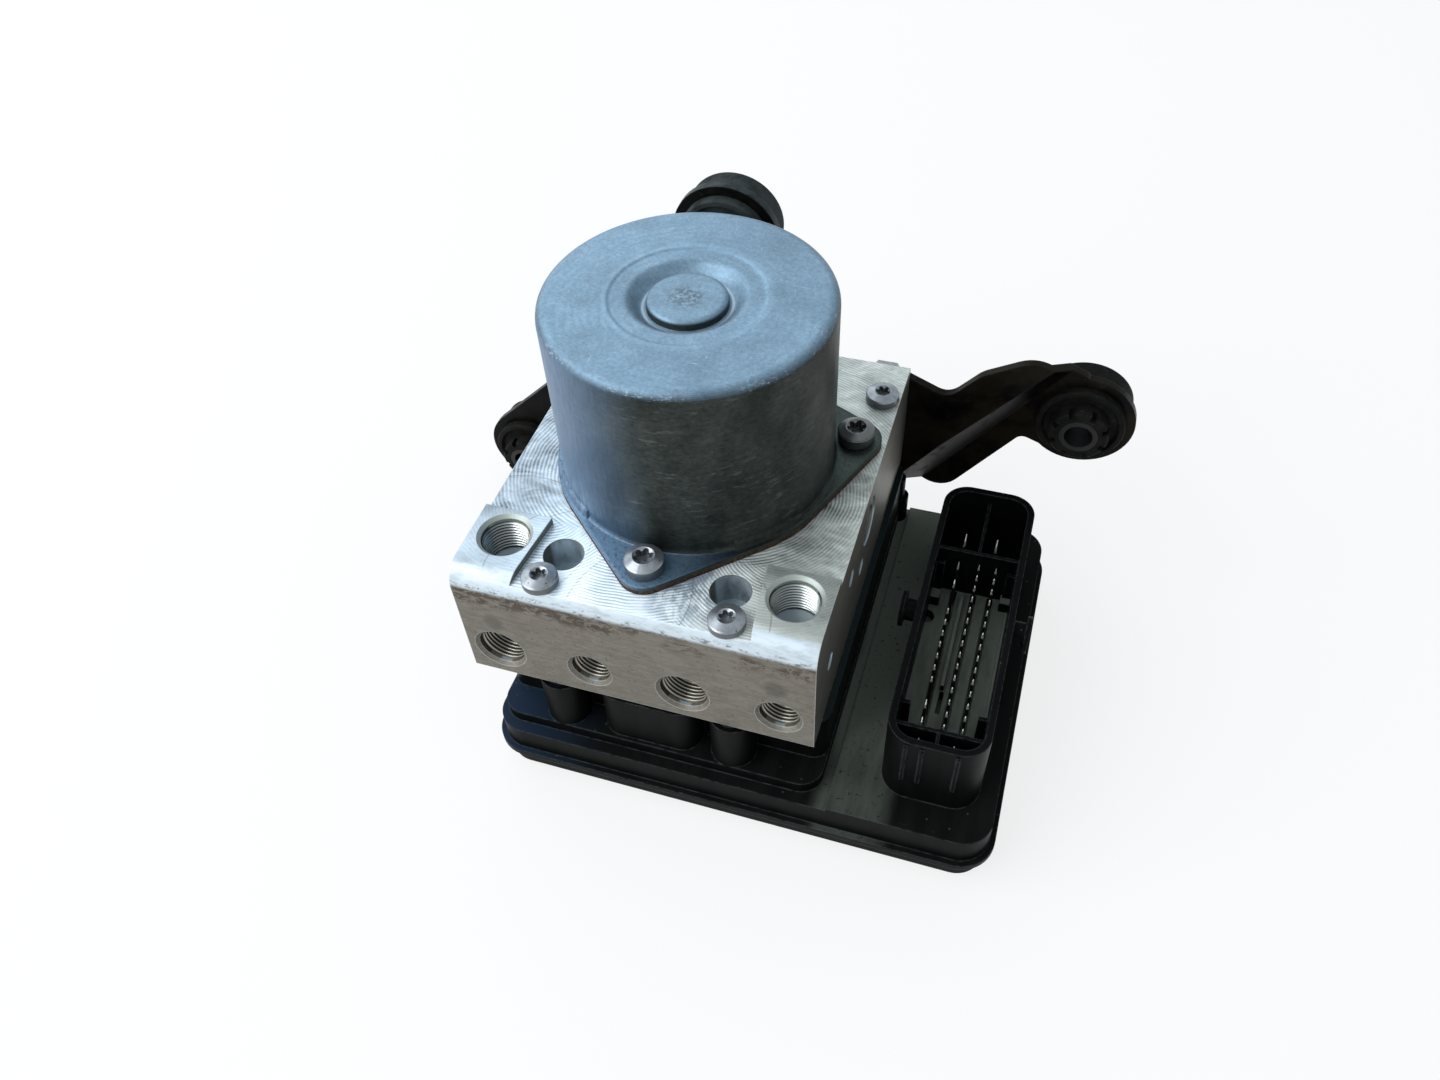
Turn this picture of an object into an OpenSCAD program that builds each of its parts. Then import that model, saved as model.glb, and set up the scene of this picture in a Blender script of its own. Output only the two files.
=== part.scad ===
// Brake pressure modulator with its pump motor, control electronics and rubber mounted bracket.
// Z points up, X points to the connector and Y to the bracket. The origin lies on the base, below the motor axis.

/* [Valve block] */
// Width of the aluminium valve block, across the row of front ports
block_w = 89.5; // [86:0.5:96]
// Depth of the valve block, from the port face to the bracket face
block_d = 101.8; // [98:0.2:110]
// Height of the valve block up to its milled top
block_h = 34.6; // [33:0.2:42]
// Distance of the motor axis behind the middle of the block
motor_offset = 3; // [2:0.1:4]
// Height that the two top port pads stand above the milled top
pad_rise = 2.1; // [0.5:0.1:4]
// Width of each top port pad
pad_w = 17.6; // [16:0.2:20]
// Width that each pad loses towards the port face
pad_slant = 2.4; // [0:0.2:4]
// Depth of each top port pad, from the port face
pad_d = 22.5; // [21:0.5:28]
// Radius of the long front edge along the top
front_round = 6; // [3:0.5:8]

/* [Fluid ports] */
// Distance of the outermost ports in from the side faces
port_margin = 8.75; // [8.5:0.05:9.5]
// Height of the wheel ports above the underside of the block
port_rise = 9.2; // [8:0.1:11]
// Thread radius of the large ports
large_port_r = 6; // [5:0.5:6.5]
// Thread radius of the small ports
small_port_r = 5; // [4.5:0.5:6]
// Threaded depth of every port
port_depth = 11.5; // [10:0.5:12.5]
// Chamfer at the mouth of every port
port_chamfer = 0.9; // [0.3:0.1:1.4]
// Radius of the drilled passage behind each port
passage_r = 1.6; // [1:0.1:2.2]
// Depth of the drilled passage past the thread
passage_depth = 7; // [6.7:0.1:8]
// Distance of the top ports back from the port face
top_port_inset = 14.4; // [13:0.2:15.5]
// Distance of each stepped locating bore inwards from its top port
step_bore_gap = 15.2; // [14.6:0.1:16]
// Distance of the stepped bores back from the port face
step_bore_inset = 14; // [13.5:0.1:16]
// Radius of the wide part of the stepped bores
step_bore_r = 5; // [4:0.1:5.4]
// Depth of the wide part of the stepped bores
step_bore_depth = 9; // [5:0.5:11]
// Radius of the narrow part of the stepped bores
step_pilot_r = 3; // [2:0.1:3.6]
// Depth of the narrow part past the wide part
step_pilot_depth = 5; // [3:0.5:7]

/* [Motor can] */
// Outer radius of the motor can
can_r = 34.2; // [33:0.1:35]
// Height of the motor can above the milled top
can_h = 50.5; // [50:0.5:58]
// Sheet thickness of the can wall
can_wall = 1.8; // [1.5:0.1:2.2]
// Radius of the drawn edge round the top
can_round = 2.4; // [2.2:0.1:4]
// Thickness of the mounting flange
flange_t = 2.2; // [1.8:0.1:3]
// Width of the flange past the can, between its ears
flange_out = 1.6; // [1.4:0.1:2.2]
// Radius of each flange ear
ear_r = 6.6; // [6.2:0.1:7.2]
// Gap between the heads of the motor screws and the can
head_gap = 1.1; // [0.8:0.1:1.8]
// Angle from the front ear round to each side ear
ear_angle = 112; // [108:1:116]
// Radius of the bearing seat that stands up in the middle of the top
button_r = 9.4; // [9:0.1:10]
// Depth of the ring groove round the bearing seat
dish_depth = 3; // [2:0.1:3.4]

/* [Screws] */
// Head radius of the motor screws
motor_head_r = 4.7; // [4.2:0.1:5.2]
// Head height of the motor screws
motor_head_h = 4.1; // [3.5:0.1:5.5]
// Thread radius of the motor screws
motor_screw_r = 2.5; // [2:0.1:2.8]
// Thread length of the motor screws below the flange
motor_screw_l = 11; // [8:0.5:13]
// Head radius of the long housing screws
long_head_r = 4.4; // [4:0.1:4.7]
// Head height of the long housing screws
long_head_h = 3.1; // [2.5:0.1:4]
// Shank radius of the long housing screws
long_screw_r = 2.2; // [1.8:0.1:2.4]
// Distance of the front housing screws in from the outermost ports
post_front_in = 13.2; // [12.6:0.1:13.4]
// Distance of the front housing screws back from the port face
post_front_inset = 4.7; // [4.4:0.1:5.2]
// Distance of the rear right housing screw in from the side of the block
post_rear_right_in = 4.75; // [4.4:0.05:5.6]
// Distance of the rear left housing screw in from the side of the block
post_rear_left_in = 9.15; // [9.1:0.05:10.6]
// Distance of the rear housing screws in from the bracket face
post_rear_inset = 14.3; // [13.9:0.1:15.8]

/* [Electronics housing] */
// Distance of the housing wall in from the left side of the block
ecu_left_in = 2.35; // [0.8:0.05:2.8]
// Overhang of the housing past the right side of the block
ecu_overhang = 44.95; // [43.5:0.05:47]
// Overhang of the housing past the port face
ecu_front_out = 4.5; // [4.2:0.1:6]
// Overhang of the housing past the bracket face
ecu_rear_out = 0.5; // [0.3:0.1:4]
// Corner radius of the housing
ecu_corner = 8; // [6:0.5:10]
// Height of the bottom cover
cover_h = 7.9; // [6:0.1:12]
// Thickness of the rim that the cover is welded to
rim_t = 1.8; // [1:0.1:3]
// Width that the rim stands out from the housing wall
rim_out = 1.6; // [1:0.1:3]
// Height of the outer wall above the rim
wall_h = 8.7; // [8:0.1:12]
// Thickness of the moulded walls
moulded_wall = 2.2; // [1.8:0.1:2.6]
// Step from the connector plate down to the ledge round the coil chamber
ledge_drop = 1; // [0.6:0.1:1.4]
// Height of the low tier round the coil chamber above the connector plate
tier_h = 2.6; // [2:0.1:4]
// Height of the coil chamber above the low tier
chamber_h = 16.2; // [15.4:0.2:20]
// Thickness of the seal between the coil chamber and the block
gasket_t = 1.2; // [0.8:0.1:2]
// Radius of the screw posts under the block
post_r = 5.9; // [5.4:0.1:6]
// Width of the contact tower between the two front posts
tower_w = 26; // [24:0.5:28]
// Thickness of the circuit board
board_t = 1.6; // [1:0.1:2]

/* [Connector] */
// Distance of the connector's middle line in from the right wall of the housing
shroud_in = 17.1; // [16.6:0.1:18.5]
// Width of the connector shroud
shroud_w = 24.8; // [24:0.2:26]
// Distance of the shroud in from the front wall of the housing
shroud_front_in = 8.9; // [7.6:0.1:10.4]
// Distance of the shroud in from the rear wall of the housing
shroud_rear_in = 10.9; // [8.4:0.1:12.4]
// Height of the shroud above the connector plate
shroud_h = 24.6; // [22:0.2:28]
// Wall thickness of the shroud
shroud_wall = 1.8; // [1.4:0.1:2.2]
// Outer corner radius of the shroud
shroud_corner = 7; // [5:0.5:9]
// Height of the raised floor between the pins above the connector plate
socket_floor = 6.4; // [5:0.1:8]
// Length of the front power chamber, from the end of the shroud to its cross wall
front_chamber = 5.8; // [5.4:0.1:7]
// Length of the rear power chamber, from the end of the shroud to its cross wall
rear_chamber = 22.3; // [20:0.1:24]
// Spacing of the pins along a row
pin_pitch = 3.75; // [3.4:0.05:4.2]
// Width of a signal pin
pin_w = 0.64; // [0.5:0.02:0.8]
// Width of the slot in the floor that a row of pins stands in
slot_w = 1.6; // [1.2:0.1:2]
// Width of the wide contacts in the left row
tab_w = 1.6; // [1:0.1:2]
// Width of a power blade
blade_w = 2.8; // [2:0.1:3.2]
// Depth of the pin tips below the rim of the shroud
pin_recess = 5; // [4.8:0.1:8]

/* [Bracket] */
// Thickness of the pressed bracket
bracket_t = 2.5; // [2:0.1:3]
// Radius of the eyes that hold the rubber bushes
eye_r = 14.5; // [14:0.1:15.5]
// Step of the right arm away from the block
right_joggle = 8.2; // [6:0.2:10]
// Step of the left arm towards the front
left_joggle = 2.8; // [2:0.1:3.4]
// Distance of the right eye past the right side of the block
right_eye_out = 47.15; // [46:0.05:49]
// Height of the right eye above the underside of the block
right_eye_rise = 19.2; // [18:0.2:22]
// Distance of the left eye past the left side of the block
left_eye_out = 31.85; // [30:0.05:35]
// Depth of the left eye below the underside of the block
left_eye_drop = 23.4; // [22:0.2:23.6]
// Distance of the top eye to the left of the motor axis
top_eye_x = 6.8; // [5:0.2:9]
// Height of the top eye above the milled top
top_eye_rise = 33.2; // [31:0.2:36]
// Head radius of the bracket bolts
bolt_head_r = 7; // [6:0.1:8]
// Thread radius of the bracket bolts
bolt_r = 3.8; // [3:0.1:4]
// Distance of the two upper bracket bolts in from the side faces
bolt_in = 7.75; // [7.7:0.05:8.8]
// Depth of the bracket bolt threads in the block
bolt_depth = 8; // [6:0.5:8.5]

/* [Bushes] */
// Radius of the rubber ring in front of the eye
bush_ring_r = 12; // [11.4:0.1:12.6]
// Radius of the rubber disc behind the eye
bush_disc_r = 13.2; // [12:0.1:13.4]
// Thickness of the rubber disc behind the eye
bush_disc_t = 8.6; // [6:0.2:9]
// Radius of the rubber neck inside the eye
bush_neck_r = 9.6; // [9:0.1:10.4]
// Radius of the notched hub in front
hub_r = 8; // [7.4:0.1:8.4]
// Length that the notched hub stands in front of the eye
hub_l = 6.7; // [6:0.1:8]
// Outer radius of the steel sleeve
sleeve_r = 5.2; // [4.8:0.1:5.6]
// Bore radius of the steel sleeve
sleeve_bore_r = 3.8; // [3:0.1:4.2]

/* [Pump] */
// Depth of the pump axis below the milled top
pump_drop = 11; // [10.6:0.1:11.4]
// Radius of the well that the eccentric turns in
well_r = 14; // [13.4:0.1:14.6]
// Radius of the pump pistons
piston_r = 4; // [3.4:0.1:4.2]
// Length of the pump pistons
piston_l = 16; // [14:0.5:17]
// Radius of the pump spring bore
spring_bore_r = 5.4; // [5.2:0.1:5.6]
// Radius of the pump plugs
plug_r = 6.5; // [6:0.1:7]
// Length of the pump plugs
plug_l = 7; // [6:0.5:8]
// Offset of the eccentric from the motor axis
eccentric = 1.2; // [0.8:0.1:1.4]
// Outer radius of the ring bearing on the eccentric
ring_r = 9.5; // [9:0.1:9.8]

/* [Valves] */
// Distance of the outer valve columns in from the side faces
valve_margin = 14.75; // [14.4:0.05:16]
// Distance of the first valve row back from the port face
valve_row_inset = 25.3; // [24.9:0.1:26.3]
// Spacing of the two valve rows
valve_row_pitch = 21; // [19:0.5:22]
// Radius of the valve cartridges in the block
valve_r = 5.4; // [5:0.1:5.6]
// Depth of the valve cartridges in the block
valve_depth = 9.5; // [8:0.5:10]
// Radius of the valve domes below the block
dome_r = 4.4; // [4:0.1:4.6]
// Length of the valve domes below the block
dome_l = 15; // [13:0.5:15.5]
// Radius of the valve plungers
plunger_r = 2.6; // [2:0.1:2.8]
// Travel of the valve plungers
plunger_travel = 0.35; // [0.2:0.05:0.5]
// Gap between neighbouring solenoid coils of a row
coil_gap = 2.6; // [2.4:0.1:3.6]
// Radius of the accumulator bores
accumulator_r = 9; // [8.4:0.1:9.4]
// Depth of the accumulator bores
accumulator_depth = 16; // [15:0.5:18]
// Distance of the accumulators from the middle
accumulator_x = 16; // [15.6:0.2:17]
// Distance of the accumulators in from the bracket face
accumulator_inset = 22.9; // [21.9:0.1:23.9]

/* [Rotor] */
// Radius of the motor shaft
shaft_r = 4; // [3.6:0.1:4.2]
// Gap between the laminated core and the magnets
air_gap = 1.6; // [0.8:0.1:2]
// Thickness of the magnets
magnet_t = 5.4; // [5:0.1:5.8]
// Radius of the commutator
commutator_r = 9; // [8.4:0.1:9.6]
// Number of slots in the core
core_slots = 12; // [10:1:14]
// Height of the two ball bearings
bearing_h = 4; // [3.6:0.1:4.2]
// Radius of the bearing balls
ball_r = 1; // [0.8:0.05:1.05]

/* [Fits] */
// Clearance of a running shaft, all round
running_gap = 0.05; // [0.02:0.01:0.08]
// Clearance of a piece that is pressed or glued in, all round
seat_gap = 0.04; // [0.02:0.01:0.08]
// Clearance round pieces that pass through a wall
free_gap = 0.3; // [0.2:0.05:0.4]

/* [Hidden] */
$fn = 48;

// Levels from the base up
z_wall = cover_h + rim_t;
z_plate = z_wall + wall_h;
z_ledge = z_plate - ledge_drop;
z_tier = z_plate + tier_h;
z_gasket = z_tier + chamber_h;
z_block = z_gasket + gasket_t;
z_top = z_block + block_h;
z_pad = z_top + pad_rise;
z_pump = z_top - pump_drop;
z_can = z_top + can_h;
z_roof = z_plate - moulded_wall;
z_floor = z_roof + 2.8;
z_board = z_wall + 2;
z_shroud = z_plate + shroud_h;

// Sides of the block
x_side = block_w / 2;
motor_setback = block_d / 2 + motor_offset;
y_front = -motor_setback;
y_rear = y_front + block_d;

// Reach of the electronics housing and the connector from the motor axis
ecu_left = x_side - ecu_left_in;
ecu_right = x_side + ecu_overhang;
ecu_front = motor_setback + ecu_front_out;
ecu_rear = y_rear + ecu_rear_out;
shroud_x = ecu_right - shroud_in;
shroud_front = ecu_front - shroud_front_in;
shroud_rear = ecu_rear - shroud_rear_in;

// Places of the screws and ports, seen from above
port_pitch = (block_w - 2 * port_margin) / 3;
ear_reach = can_r + motor_head_r + head_gap;
flange_r = can_r + flange_out;
motor_socket_r = 2.4;
long_socket_r = 1.9;
post_front_x = 1.5 * port_pitch - post_front_in;
ear_angles = [-90 - ear_angle, -90, -90 + ear_angle];
front_post_y = y_front + post_front_inset;
rear_post_y = y_rear - post_rear_inset;
posts = [[-post_front_x, front_post_y], [post_front_x, front_post_y],
    [x_side - post_rear_right_in, rear_post_y], [-x_side + post_rear_left_in, rear_post_y]];
port_x = [-1.5 * port_pitch, -0.5 * port_pitch, 0.5 * port_pitch, 1.5 * port_pitch];
port_r = [large_port_r, small_port_r, large_port_r, small_port_r];
top_port_y = y_front + top_port_inset;
step_bore_x = 1.5 * port_pitch - step_bore_gap;
step_bore_y = y_front + step_bore_inset;
valve_pitch = (x_side - valve_margin) / 1.5;
coil_r = (valve_pitch - coil_gap) / 2;
valve_x = [-1.5 * valve_pitch, -0.5 * valve_pitch, 0.5 * valve_pitch, 1.5 * valve_pitch];
valve_y = [y_front + valve_row_inset, y_front + valve_row_inset + valve_row_pitch];
accumulator_y = y_rear - accumulator_inset;
sensor_inset = 14.6;
sensor_y = y_front + sensor_inset;
sensor_r = 4.2;
contact_inset = 25.9;
contact_y = y_rear - contact_inset;
contact_r = 3;
contact_up = 0.4;

// Outline of the coil chamber and its low tier
tier_l = ecu_left - 1.3;
tier_rt = x_side + 1.7;
tier_fr = motor_setback + 1.2;
tier_bk = ecu_rear - 1;
chamber_wall = 1.6;
chamber_fr = motor_setback - 7.4;
chamber_bk = y_rear - 1.2;
groove_x = tier_rt + 2.6;

// Inside of the pump and the motor
piston_tip = ring_r + eccentric + free_gap;
bore_shoulder = 23;
plug_x = x_side - plug_l;
can_in_r = can_r - can_wall;
core_r = can_in_r - magnet_t - air_gap;
magnet_over = 3;
slot_floor_r = 11;
winding_gap = 0.4;
winding_in = 1.6;
end_turn_r = 11.6;
end_turn_h = 4.5;
end_turn_in = 1.8;
brush_box_x = 11;
brush_box_l = 16;
brush_box_h = 9;
brush_w = 6;
brush_h = 7.6;
brush_in = 4;
roof_z = z_can - can_wall;
bearing_top = z_can - can_wall - 1;
bearing_r = button_r - can_wall;
plate_top = z_top + 4;
commutator_z = plate_top + 2.4;
core_z = commutator_z + 15;
core_top = bearing_top - bearing_h - 7;
race_r = (shaft_r + bearing_r) / 2;

// Eyes of the bracket, as places across the rear of the block and up
right_eye = [x_side + right_eye_out, z_block + right_eye_rise];
left_eye = [-x_side - left_eye_out, z_block - left_eye_drop];
top_eye = [-top_eye_x, z_top + top_eye_rise];
right_eye_y = y_rear + right_joggle;
left_eye_y = y_rear - left_joggle;
bolt_drop = 11;
bolt_rise = 7.4;
bolt_places = [[-x_side + bolt_in, z_top - bolt_drop], [x_side - bolt_in, z_top - bolt_drop],
    [0, z_block + bolt_rise]];

// Shared shapes

// Plate with round corners, given by the reach of its four sides
module corner_plate(l, r, f, b, round_r) {
    for (x = [-l + round_r, r - round_r], y = [-f + round_r, b - round_r])
        translate([x, y]) circle(round_r);
    translate([-l, -f + round_r]) square([l + r, f + b - 2 * round_r]);
    translate([-l + round_r, -f]) square([l + r - 2 * round_r, f + b]);
}

module rounded_block(l, r, f, b, round_r, z0, z1) {
    translate([0, 0, z0]) linear_extrude(z1 - z0) corner_plate(l, r, f, b, round_r);
}

// Copies a shape to the left and the right side
module both_sides() {
    children();
    mirror([1, 0, 0]) children();
}

// Turns a shape that points up so that it points along X, Y or back along them
module along_x() { rotate([0, 90, 0]) children(); }
module along_y() { rotate([-90, 0, 0]) children(); }

// Points of a corner b between a and c that is rounded with radius r
function unit(v) = v / norm(v);
function turn(a) = a > 180 ? a - 360 : a < -180 ? a + 360 : a;
function rounded_corner(a, b, c, r, n = 6) =
    let (u = unit(a - b), v = unit(c - b), half = acos(u * v) / 2,
        o = b + unit(u + v) * r / sin(half), p = b + u * r / tan(half) - o, q = b + v * r / tan(half) - o,
        from = atan2(p.y, p.x), sweep = turn(atan2(q.y, q.x) - from))
    [for (i = [0:n]) o + r * [cos(from + sweep * i / n), sin(from + sweep * i / n)]];

// Outline through corners given as [x, y, radius]
function outline(c) = let (n = len(c), xy = [for (k = c) [k.x, k.y]])
    [for (i = [0:n - 1]) each (c[i].z > 0
        ? rounded_corner(xy[(i + n - 1) % n], xy[i], xy[(i + 1) % n], c[i].z) : [xy[i]])];

// Tool that cuts a threaded port downwards from its mouth at the origin
module port_tool(r) {
    seat_h = (r - passage_r) * 0.7;
    translate([0, 0, -port_chamfer]) cylinder(h = port_chamfer + 0.01, r1 = r, r2 = r + port_chamfer);
    translate([0, 0, -port_depth]) cylinder(h = port_depth + 1, r = r);
    translate([0, 0, -port_depth - seat_h]) cylinder(h = seat_h + 0.01, r1 = passage_r, r2 = r);
    translate([0, 0, -port_depth - seat_h - passage_depth]) cylinder(h = passage_depth + 0.5, r = passage_r);
}

// Screw head with a low crown and a six lobed socket, standing on the origin
module lobed_head(r, h, socket_r) {
    rim_r = socket_r + 0.3;
    foot = 0.25;
    edge = 0.3;
    mouth = 0.5;
    crown = h * 0.24;
    belt = h - crown - edge;
    difference() {
        union() {
            cylinder(h = foot, r1 = r - foot, r2 = r);
            translate([0, 0, foot]) cylinder(h = belt - foot, r = r);
            translate([0, 0, belt]) cylinder(h = edge, r1 = r, r2 = r - edge);
            translate([0, 0, h - crown]) cylinder(h = crown, r1 = r - edge, r2 = rim_r);
        }
        translate([0, 0, h - mouth]) cylinder(h = mouth + 0.01, r1 = socket_r * 0.78, r2 = rim_r - 0.05);
        translate([0, 0, h * 0.35]) {
            cylinder(h = h, r = socket_r * 0.74);
            for (a = [0:60:300]) rotate(a) translate([socket_r * 0.7, 0, 0])
                cylinder(h = h, r = socket_r * 0.3, $fn = 24);
        }
    }
}

// Closed coil spring drawn as a stack of rings on a thin spine, from the origin up
module coil_spring(r, wire_r, length, turns) {
    pitch = (length - 2 * wire_r) / (turns - 1);
    for (i = [0:turns - 1])
        translate([0, 0, wire_r + i * pitch]) rotate_extrude($fn = 24) translate([r, 0]) circle(wire_r, $fn = 12);
    for (a = [0, 180])
        rotate(a) translate([r, 0, wire_r]) cylinder(h = length - 2 * wire_r, r = wire_r * 0.7, $fn = 16);
}

// Body pieces

module block_bar() {
    translate([-x_side, 0, 0]) rotate([90, 0, 90]) linear_extrude(block_w) {
        translate([y_front + front_round, z_pad - front_round]) circle(front_round);
        translate([y_front, z_block]) square([block_d, z_pad - z_block - front_round]);
        translate([y_front + front_round, z_block]) square([block_d - front_round, z_pad - z_block]);
    }
}

module block_milling() {
    inner = x_side - pad_w;
    pad_end = y_front + pad_d;
    translate([0, 0, z_top]) linear_extrude(pad_rise + 1)
        polygon([[-inner, pad_end], [-inner - pad_slant, y_front - 1], [inner + pad_slant, y_front - 1],
            [inner, pad_end], [x_side + 1, pad_end], [x_side + 1, y_rear + 1], [-x_side - 1, y_rear + 1],
            [-x_side - 1, pad_end]]);
}

module block_ports() {
    for (i = [0:3])
        translate([port_x[i], y_front, z_block + port_rise]) rotate([90, 0, 0]) port_tool(port_r[i]);
    for (x = [-1.5, 1.5])
        translate([x * port_pitch, top_port_y, z_pad]) port_tool(large_port_r);
    for (x = [-step_bore_x, step_bore_x])
        translate([x, step_bore_y, z_top - step_bore_depth]) {
            cylinder(h = step_bore_depth + 1, r = step_bore_r);
            translate([0, 0, -step_pilot_depth]) cylinder(h = step_pilot_depth + 1, r = step_pilot_r);
        }
}

module block_pump_bores() {
    translate([0, 0, z_pump - 9.5]) cylinder(h = pump_drop + 10.5, r = well_r);
    both_sides() translate([0, 0, z_pump]) along_x() {
        cylinder(h = x_side, r = piston_r + running_gap);
        translate([0, 0, bore_shoulder]) cylinder(h = x_side, r = spring_bore_r);
        translate([0, 0, plug_x]) cylinder(h = plug_l + 1, r = plug_r + seat_gap);
    }
}

module block_lower_bores() {
    for (x = valve_x, y = valve_y)
        translate([x, y, z_block - 1]) cylinder(h = valve_depth + 1, r = valve_r + seat_gap);
    for (x = [-accumulator_x, accumulator_x])
        translate([x, accumulator_y, z_block - 1])
            cylinder(h = accumulator_depth + 1, r = accumulator_r + running_gap);
    translate([0, sensor_y, z_block - 1]) cylinder(h = 8, r = sensor_r + seat_gap);
    translate([0, contact_y, z_block - 1]) cylinder(h = block_h + 2, r = contact_r + free_gap);
}

module block_screw_holes() {
    for (p = posts)
        translate([p.x, p.y, z_block - 1]) cylinder(h = block_h + 2, r = long_screw_r + free_gap);
    for (a = ear_angles)
        rotate(a) translate([ear_reach, 0, z_top - motor_screw_l - 1])
            cylinder(h = motor_screw_l + 2, r = motor_screw_r + seat_gap);
    for (p = bolt_places)
        translate([p.x, y_rear - bolt_depth - 0.5, p.y]) along_y() cylinder(h = bolt_depth + 1.5, r = bolt_r + seat_gap);
}

// Places of the small pressed balls on the side faces, as [y, z]
front_ball_inset = 13.9;
front_ball_drop = 18;
middle_ball_y = 19.6;
rear_ball_y = 7.4;
rear_ball_drop = 9.6;
ball_places = [[y_front + front_ball_inset, z_top - front_ball_drop], [-middle_ball_y, z_pump],
    [-rear_ball_y, z_pump - rear_ball_drop]];
ball_plug_r = 2.2;
ball_seat = 5;

module valve_block() {
    color("gainsboro") difference() {
        block_bar();
        block_milling();
        block_ports();
        block_pump_bores();
        block_lower_bores();
        block_screw_holes();
        for (p = ball_places)
            both_sides() translate([x_side - ball_seat, p.x, p.y]) along_x()
                cylinder(h = ball_seat + 1, r = ball_plug_r + seat_gap);
    }
}

module pump_plugs() {
    color("silver") both_sides() translate([plug_x, 0, z_pump]) along_x() difference() {
        cylinder(h = plug_l - 0.4, r = plug_r);
        translate([0, 0, plug_l - 1.6]) cylinder(h = 2, r = plug_r - 2.2);
        translate([0, 0, -1]) cylinder(h = 3, r = spring_bore_r - 2);
    }
}

module ball_plugs() {
    color("silver") for (p = ball_places)
        both_sides() translate([x_side - 0.4 - ball_plug_r, p.x, p.y]) sphere(ball_plug_r, $fn = 32);
}

// Motor

// Half section of the can, outside or inside
module can_section(skin) {
    top = z_can - skin;
    side = can_r - skin;
    edge = can_round - skin;
    seat = button_r - skin;
    groove = top - dish_depth;
    lip = seat + 0.9 + 2 * skin;
    rim = button_r + 4.8 + skin;
    soft = skin > 0 ? 0.3 : 1.2;
    polygon(concat(
        [[0, z_top - 1 + (skin > 0 ? 0 : 1)], [side, z_top - 1 + (skin > 0 ? 0 : 1)]],
        [for (a = [0:10:90]) [side - edge + edge * cos(a), top - edge + edge * sin(a)]],
        [[rim + 3.9 - skin / 2, top], [rim + 3.5 - skin / 2, top - 0.3]],
        [for (t = [0:0.125:1]) [rim + (lip - rim) * t, top - 0.3 + (groove - top + 0.3) * (1 - cos(180 * t)) / 2]],
        [[seat, groove]],
        [for (a = [0:15:90]) [seat - soft + soft * cos(a), top - 0.6 - soft + soft * sin(a)]],
        [[0, top - 0.6]]));
}

// Points of an arc
function arc(c, r, from, to, n) = [for (i = [0:n]) let (a = from + (to - from) * i / n) c + r * [cos(a), sin(a)]];

module flange_plate() {
    lean = acos((flange_r - ear_r) / ear_reach);
    polygon([for (i = [0:2]) let (a = ear_angles[i], next = ear_angles[(i + 1) % 3] + (i == 2 ? 360 : 0))
        each concat(arc(ear_reach * [cos(a), sin(a)], ear_r, a - lean, a + lean, 12),
            arc([0, 0], flange_r, a + lean, next - lean, 10))]);
}

// Low bead round the foot of the can, and the steps pressed up between its ears
module can_foot() {
    bead_out = 0.45;
    bead_h = 0.8;
    step_h = 2.5;
    step_sweep = 30.5;
    front_step = 32.5;
    cylinder(h = bead_h, r1 = can_r + bead_out, r2 = can_r, $fn = 96);
    for (a = [-90 + front_step, -90 - front_step - step_sweep, 90 - step_sweep / 2])
        rotate(a) rotate_extrude(angle = step_sweep, $fn = 96)
            polygon([[can_r - 1, 0], [can_r + 0.9, 0], [can_r + 0.6, step_h], [can_r - 1, step_h]]);
}

module motor_can() {
    color("slategray") difference() {
        union() {
            rotate_extrude($fn = 96) can_section(0);
            translate([0, 0, z_top]) linear_extrude(flange_t) flange_plate();
            translate([0, 0, z_top + flange_t]) can_foot();
        }
        rotate_extrude($fn = 96) can_section(can_wall);
        for (a = ear_angles)
            rotate(a) translate([ear_reach, 0, z_top - 1]) cylinder(h = flange_t + 2, r = motor_screw_r + seat_gap);
    }
}

module motor_screws() {
    color("lightslategray") for (a = ear_angles) rotate(a) translate([ear_reach, 0, z_top]) {
        translate([0, 0, flange_t]) lobed_head(motor_head_r, motor_head_h, motor_socket_r);
        translate([0, 0, -motor_screw_l]) cylinder(h = motor_screw_l + flange_t + 0.5, r = motor_screw_r);
    }
}

module housing_screws() {
    color("lightslategray") for (p = posts) translate([p.x, p.y, z_top]) {
        lobed_head(long_head_r, long_head_h, long_socket_r);
        translate([0, 0, z_tier + 2 - z_top]) cylinder(h = z_top - z_tier - 1.5, r = long_screw_r);
    }
}

module motor_magnets() {
    color("dimgray") for (a = [45:90:315]) rotate(a - 36) translate([0, 0, core_z - magnet_over])
        rotate_extrude(angle = 72, $fn = 96) translate([can_in_r - magnet_t, 0])
            square([magnet_t - seat_gap, core_top - core_z + 2 * magnet_over]);
}

module armature_core() {
    color("gray") translate([0, 0, core_z]) difference() {
        cylinder(h = core_top - core_z, r = core_r, $fn = 96);
        translate([0, 0, -1]) cylinder(h = core_top - core_z + 2, r = shaft_r + 0.02);
        for (i = [0:core_slots - 1]) rotate(i * 360 / core_slots)
            translate([slot_floor_r, -1.5, -1]) cube([core_r - slot_floor_r + 1, 3, core_top - core_z + 2]);
    }
}

module armature_windings() {
    bar_r = slot_floor_r + winding_gap;
    color("chocolate") {
        for (i = [0:core_slots - 1]) rotate(i * 360 / core_slots)
            translate([bar_r, -1.4, core_z - 1]) cube([core_r - winding_in - bar_r, 2.8, core_top - core_z + 2]);
        for (z = [core_z - end_turn_h - 0.1, core_top + 0.1]) translate([0, 0, z]) rotate_extrude($fn = 96)
            translate([end_turn_r, 0]) corner_plate(0, core_r - end_turn_in - end_turn_r, 0, end_turn_h, 1.6);
    }
}

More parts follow.
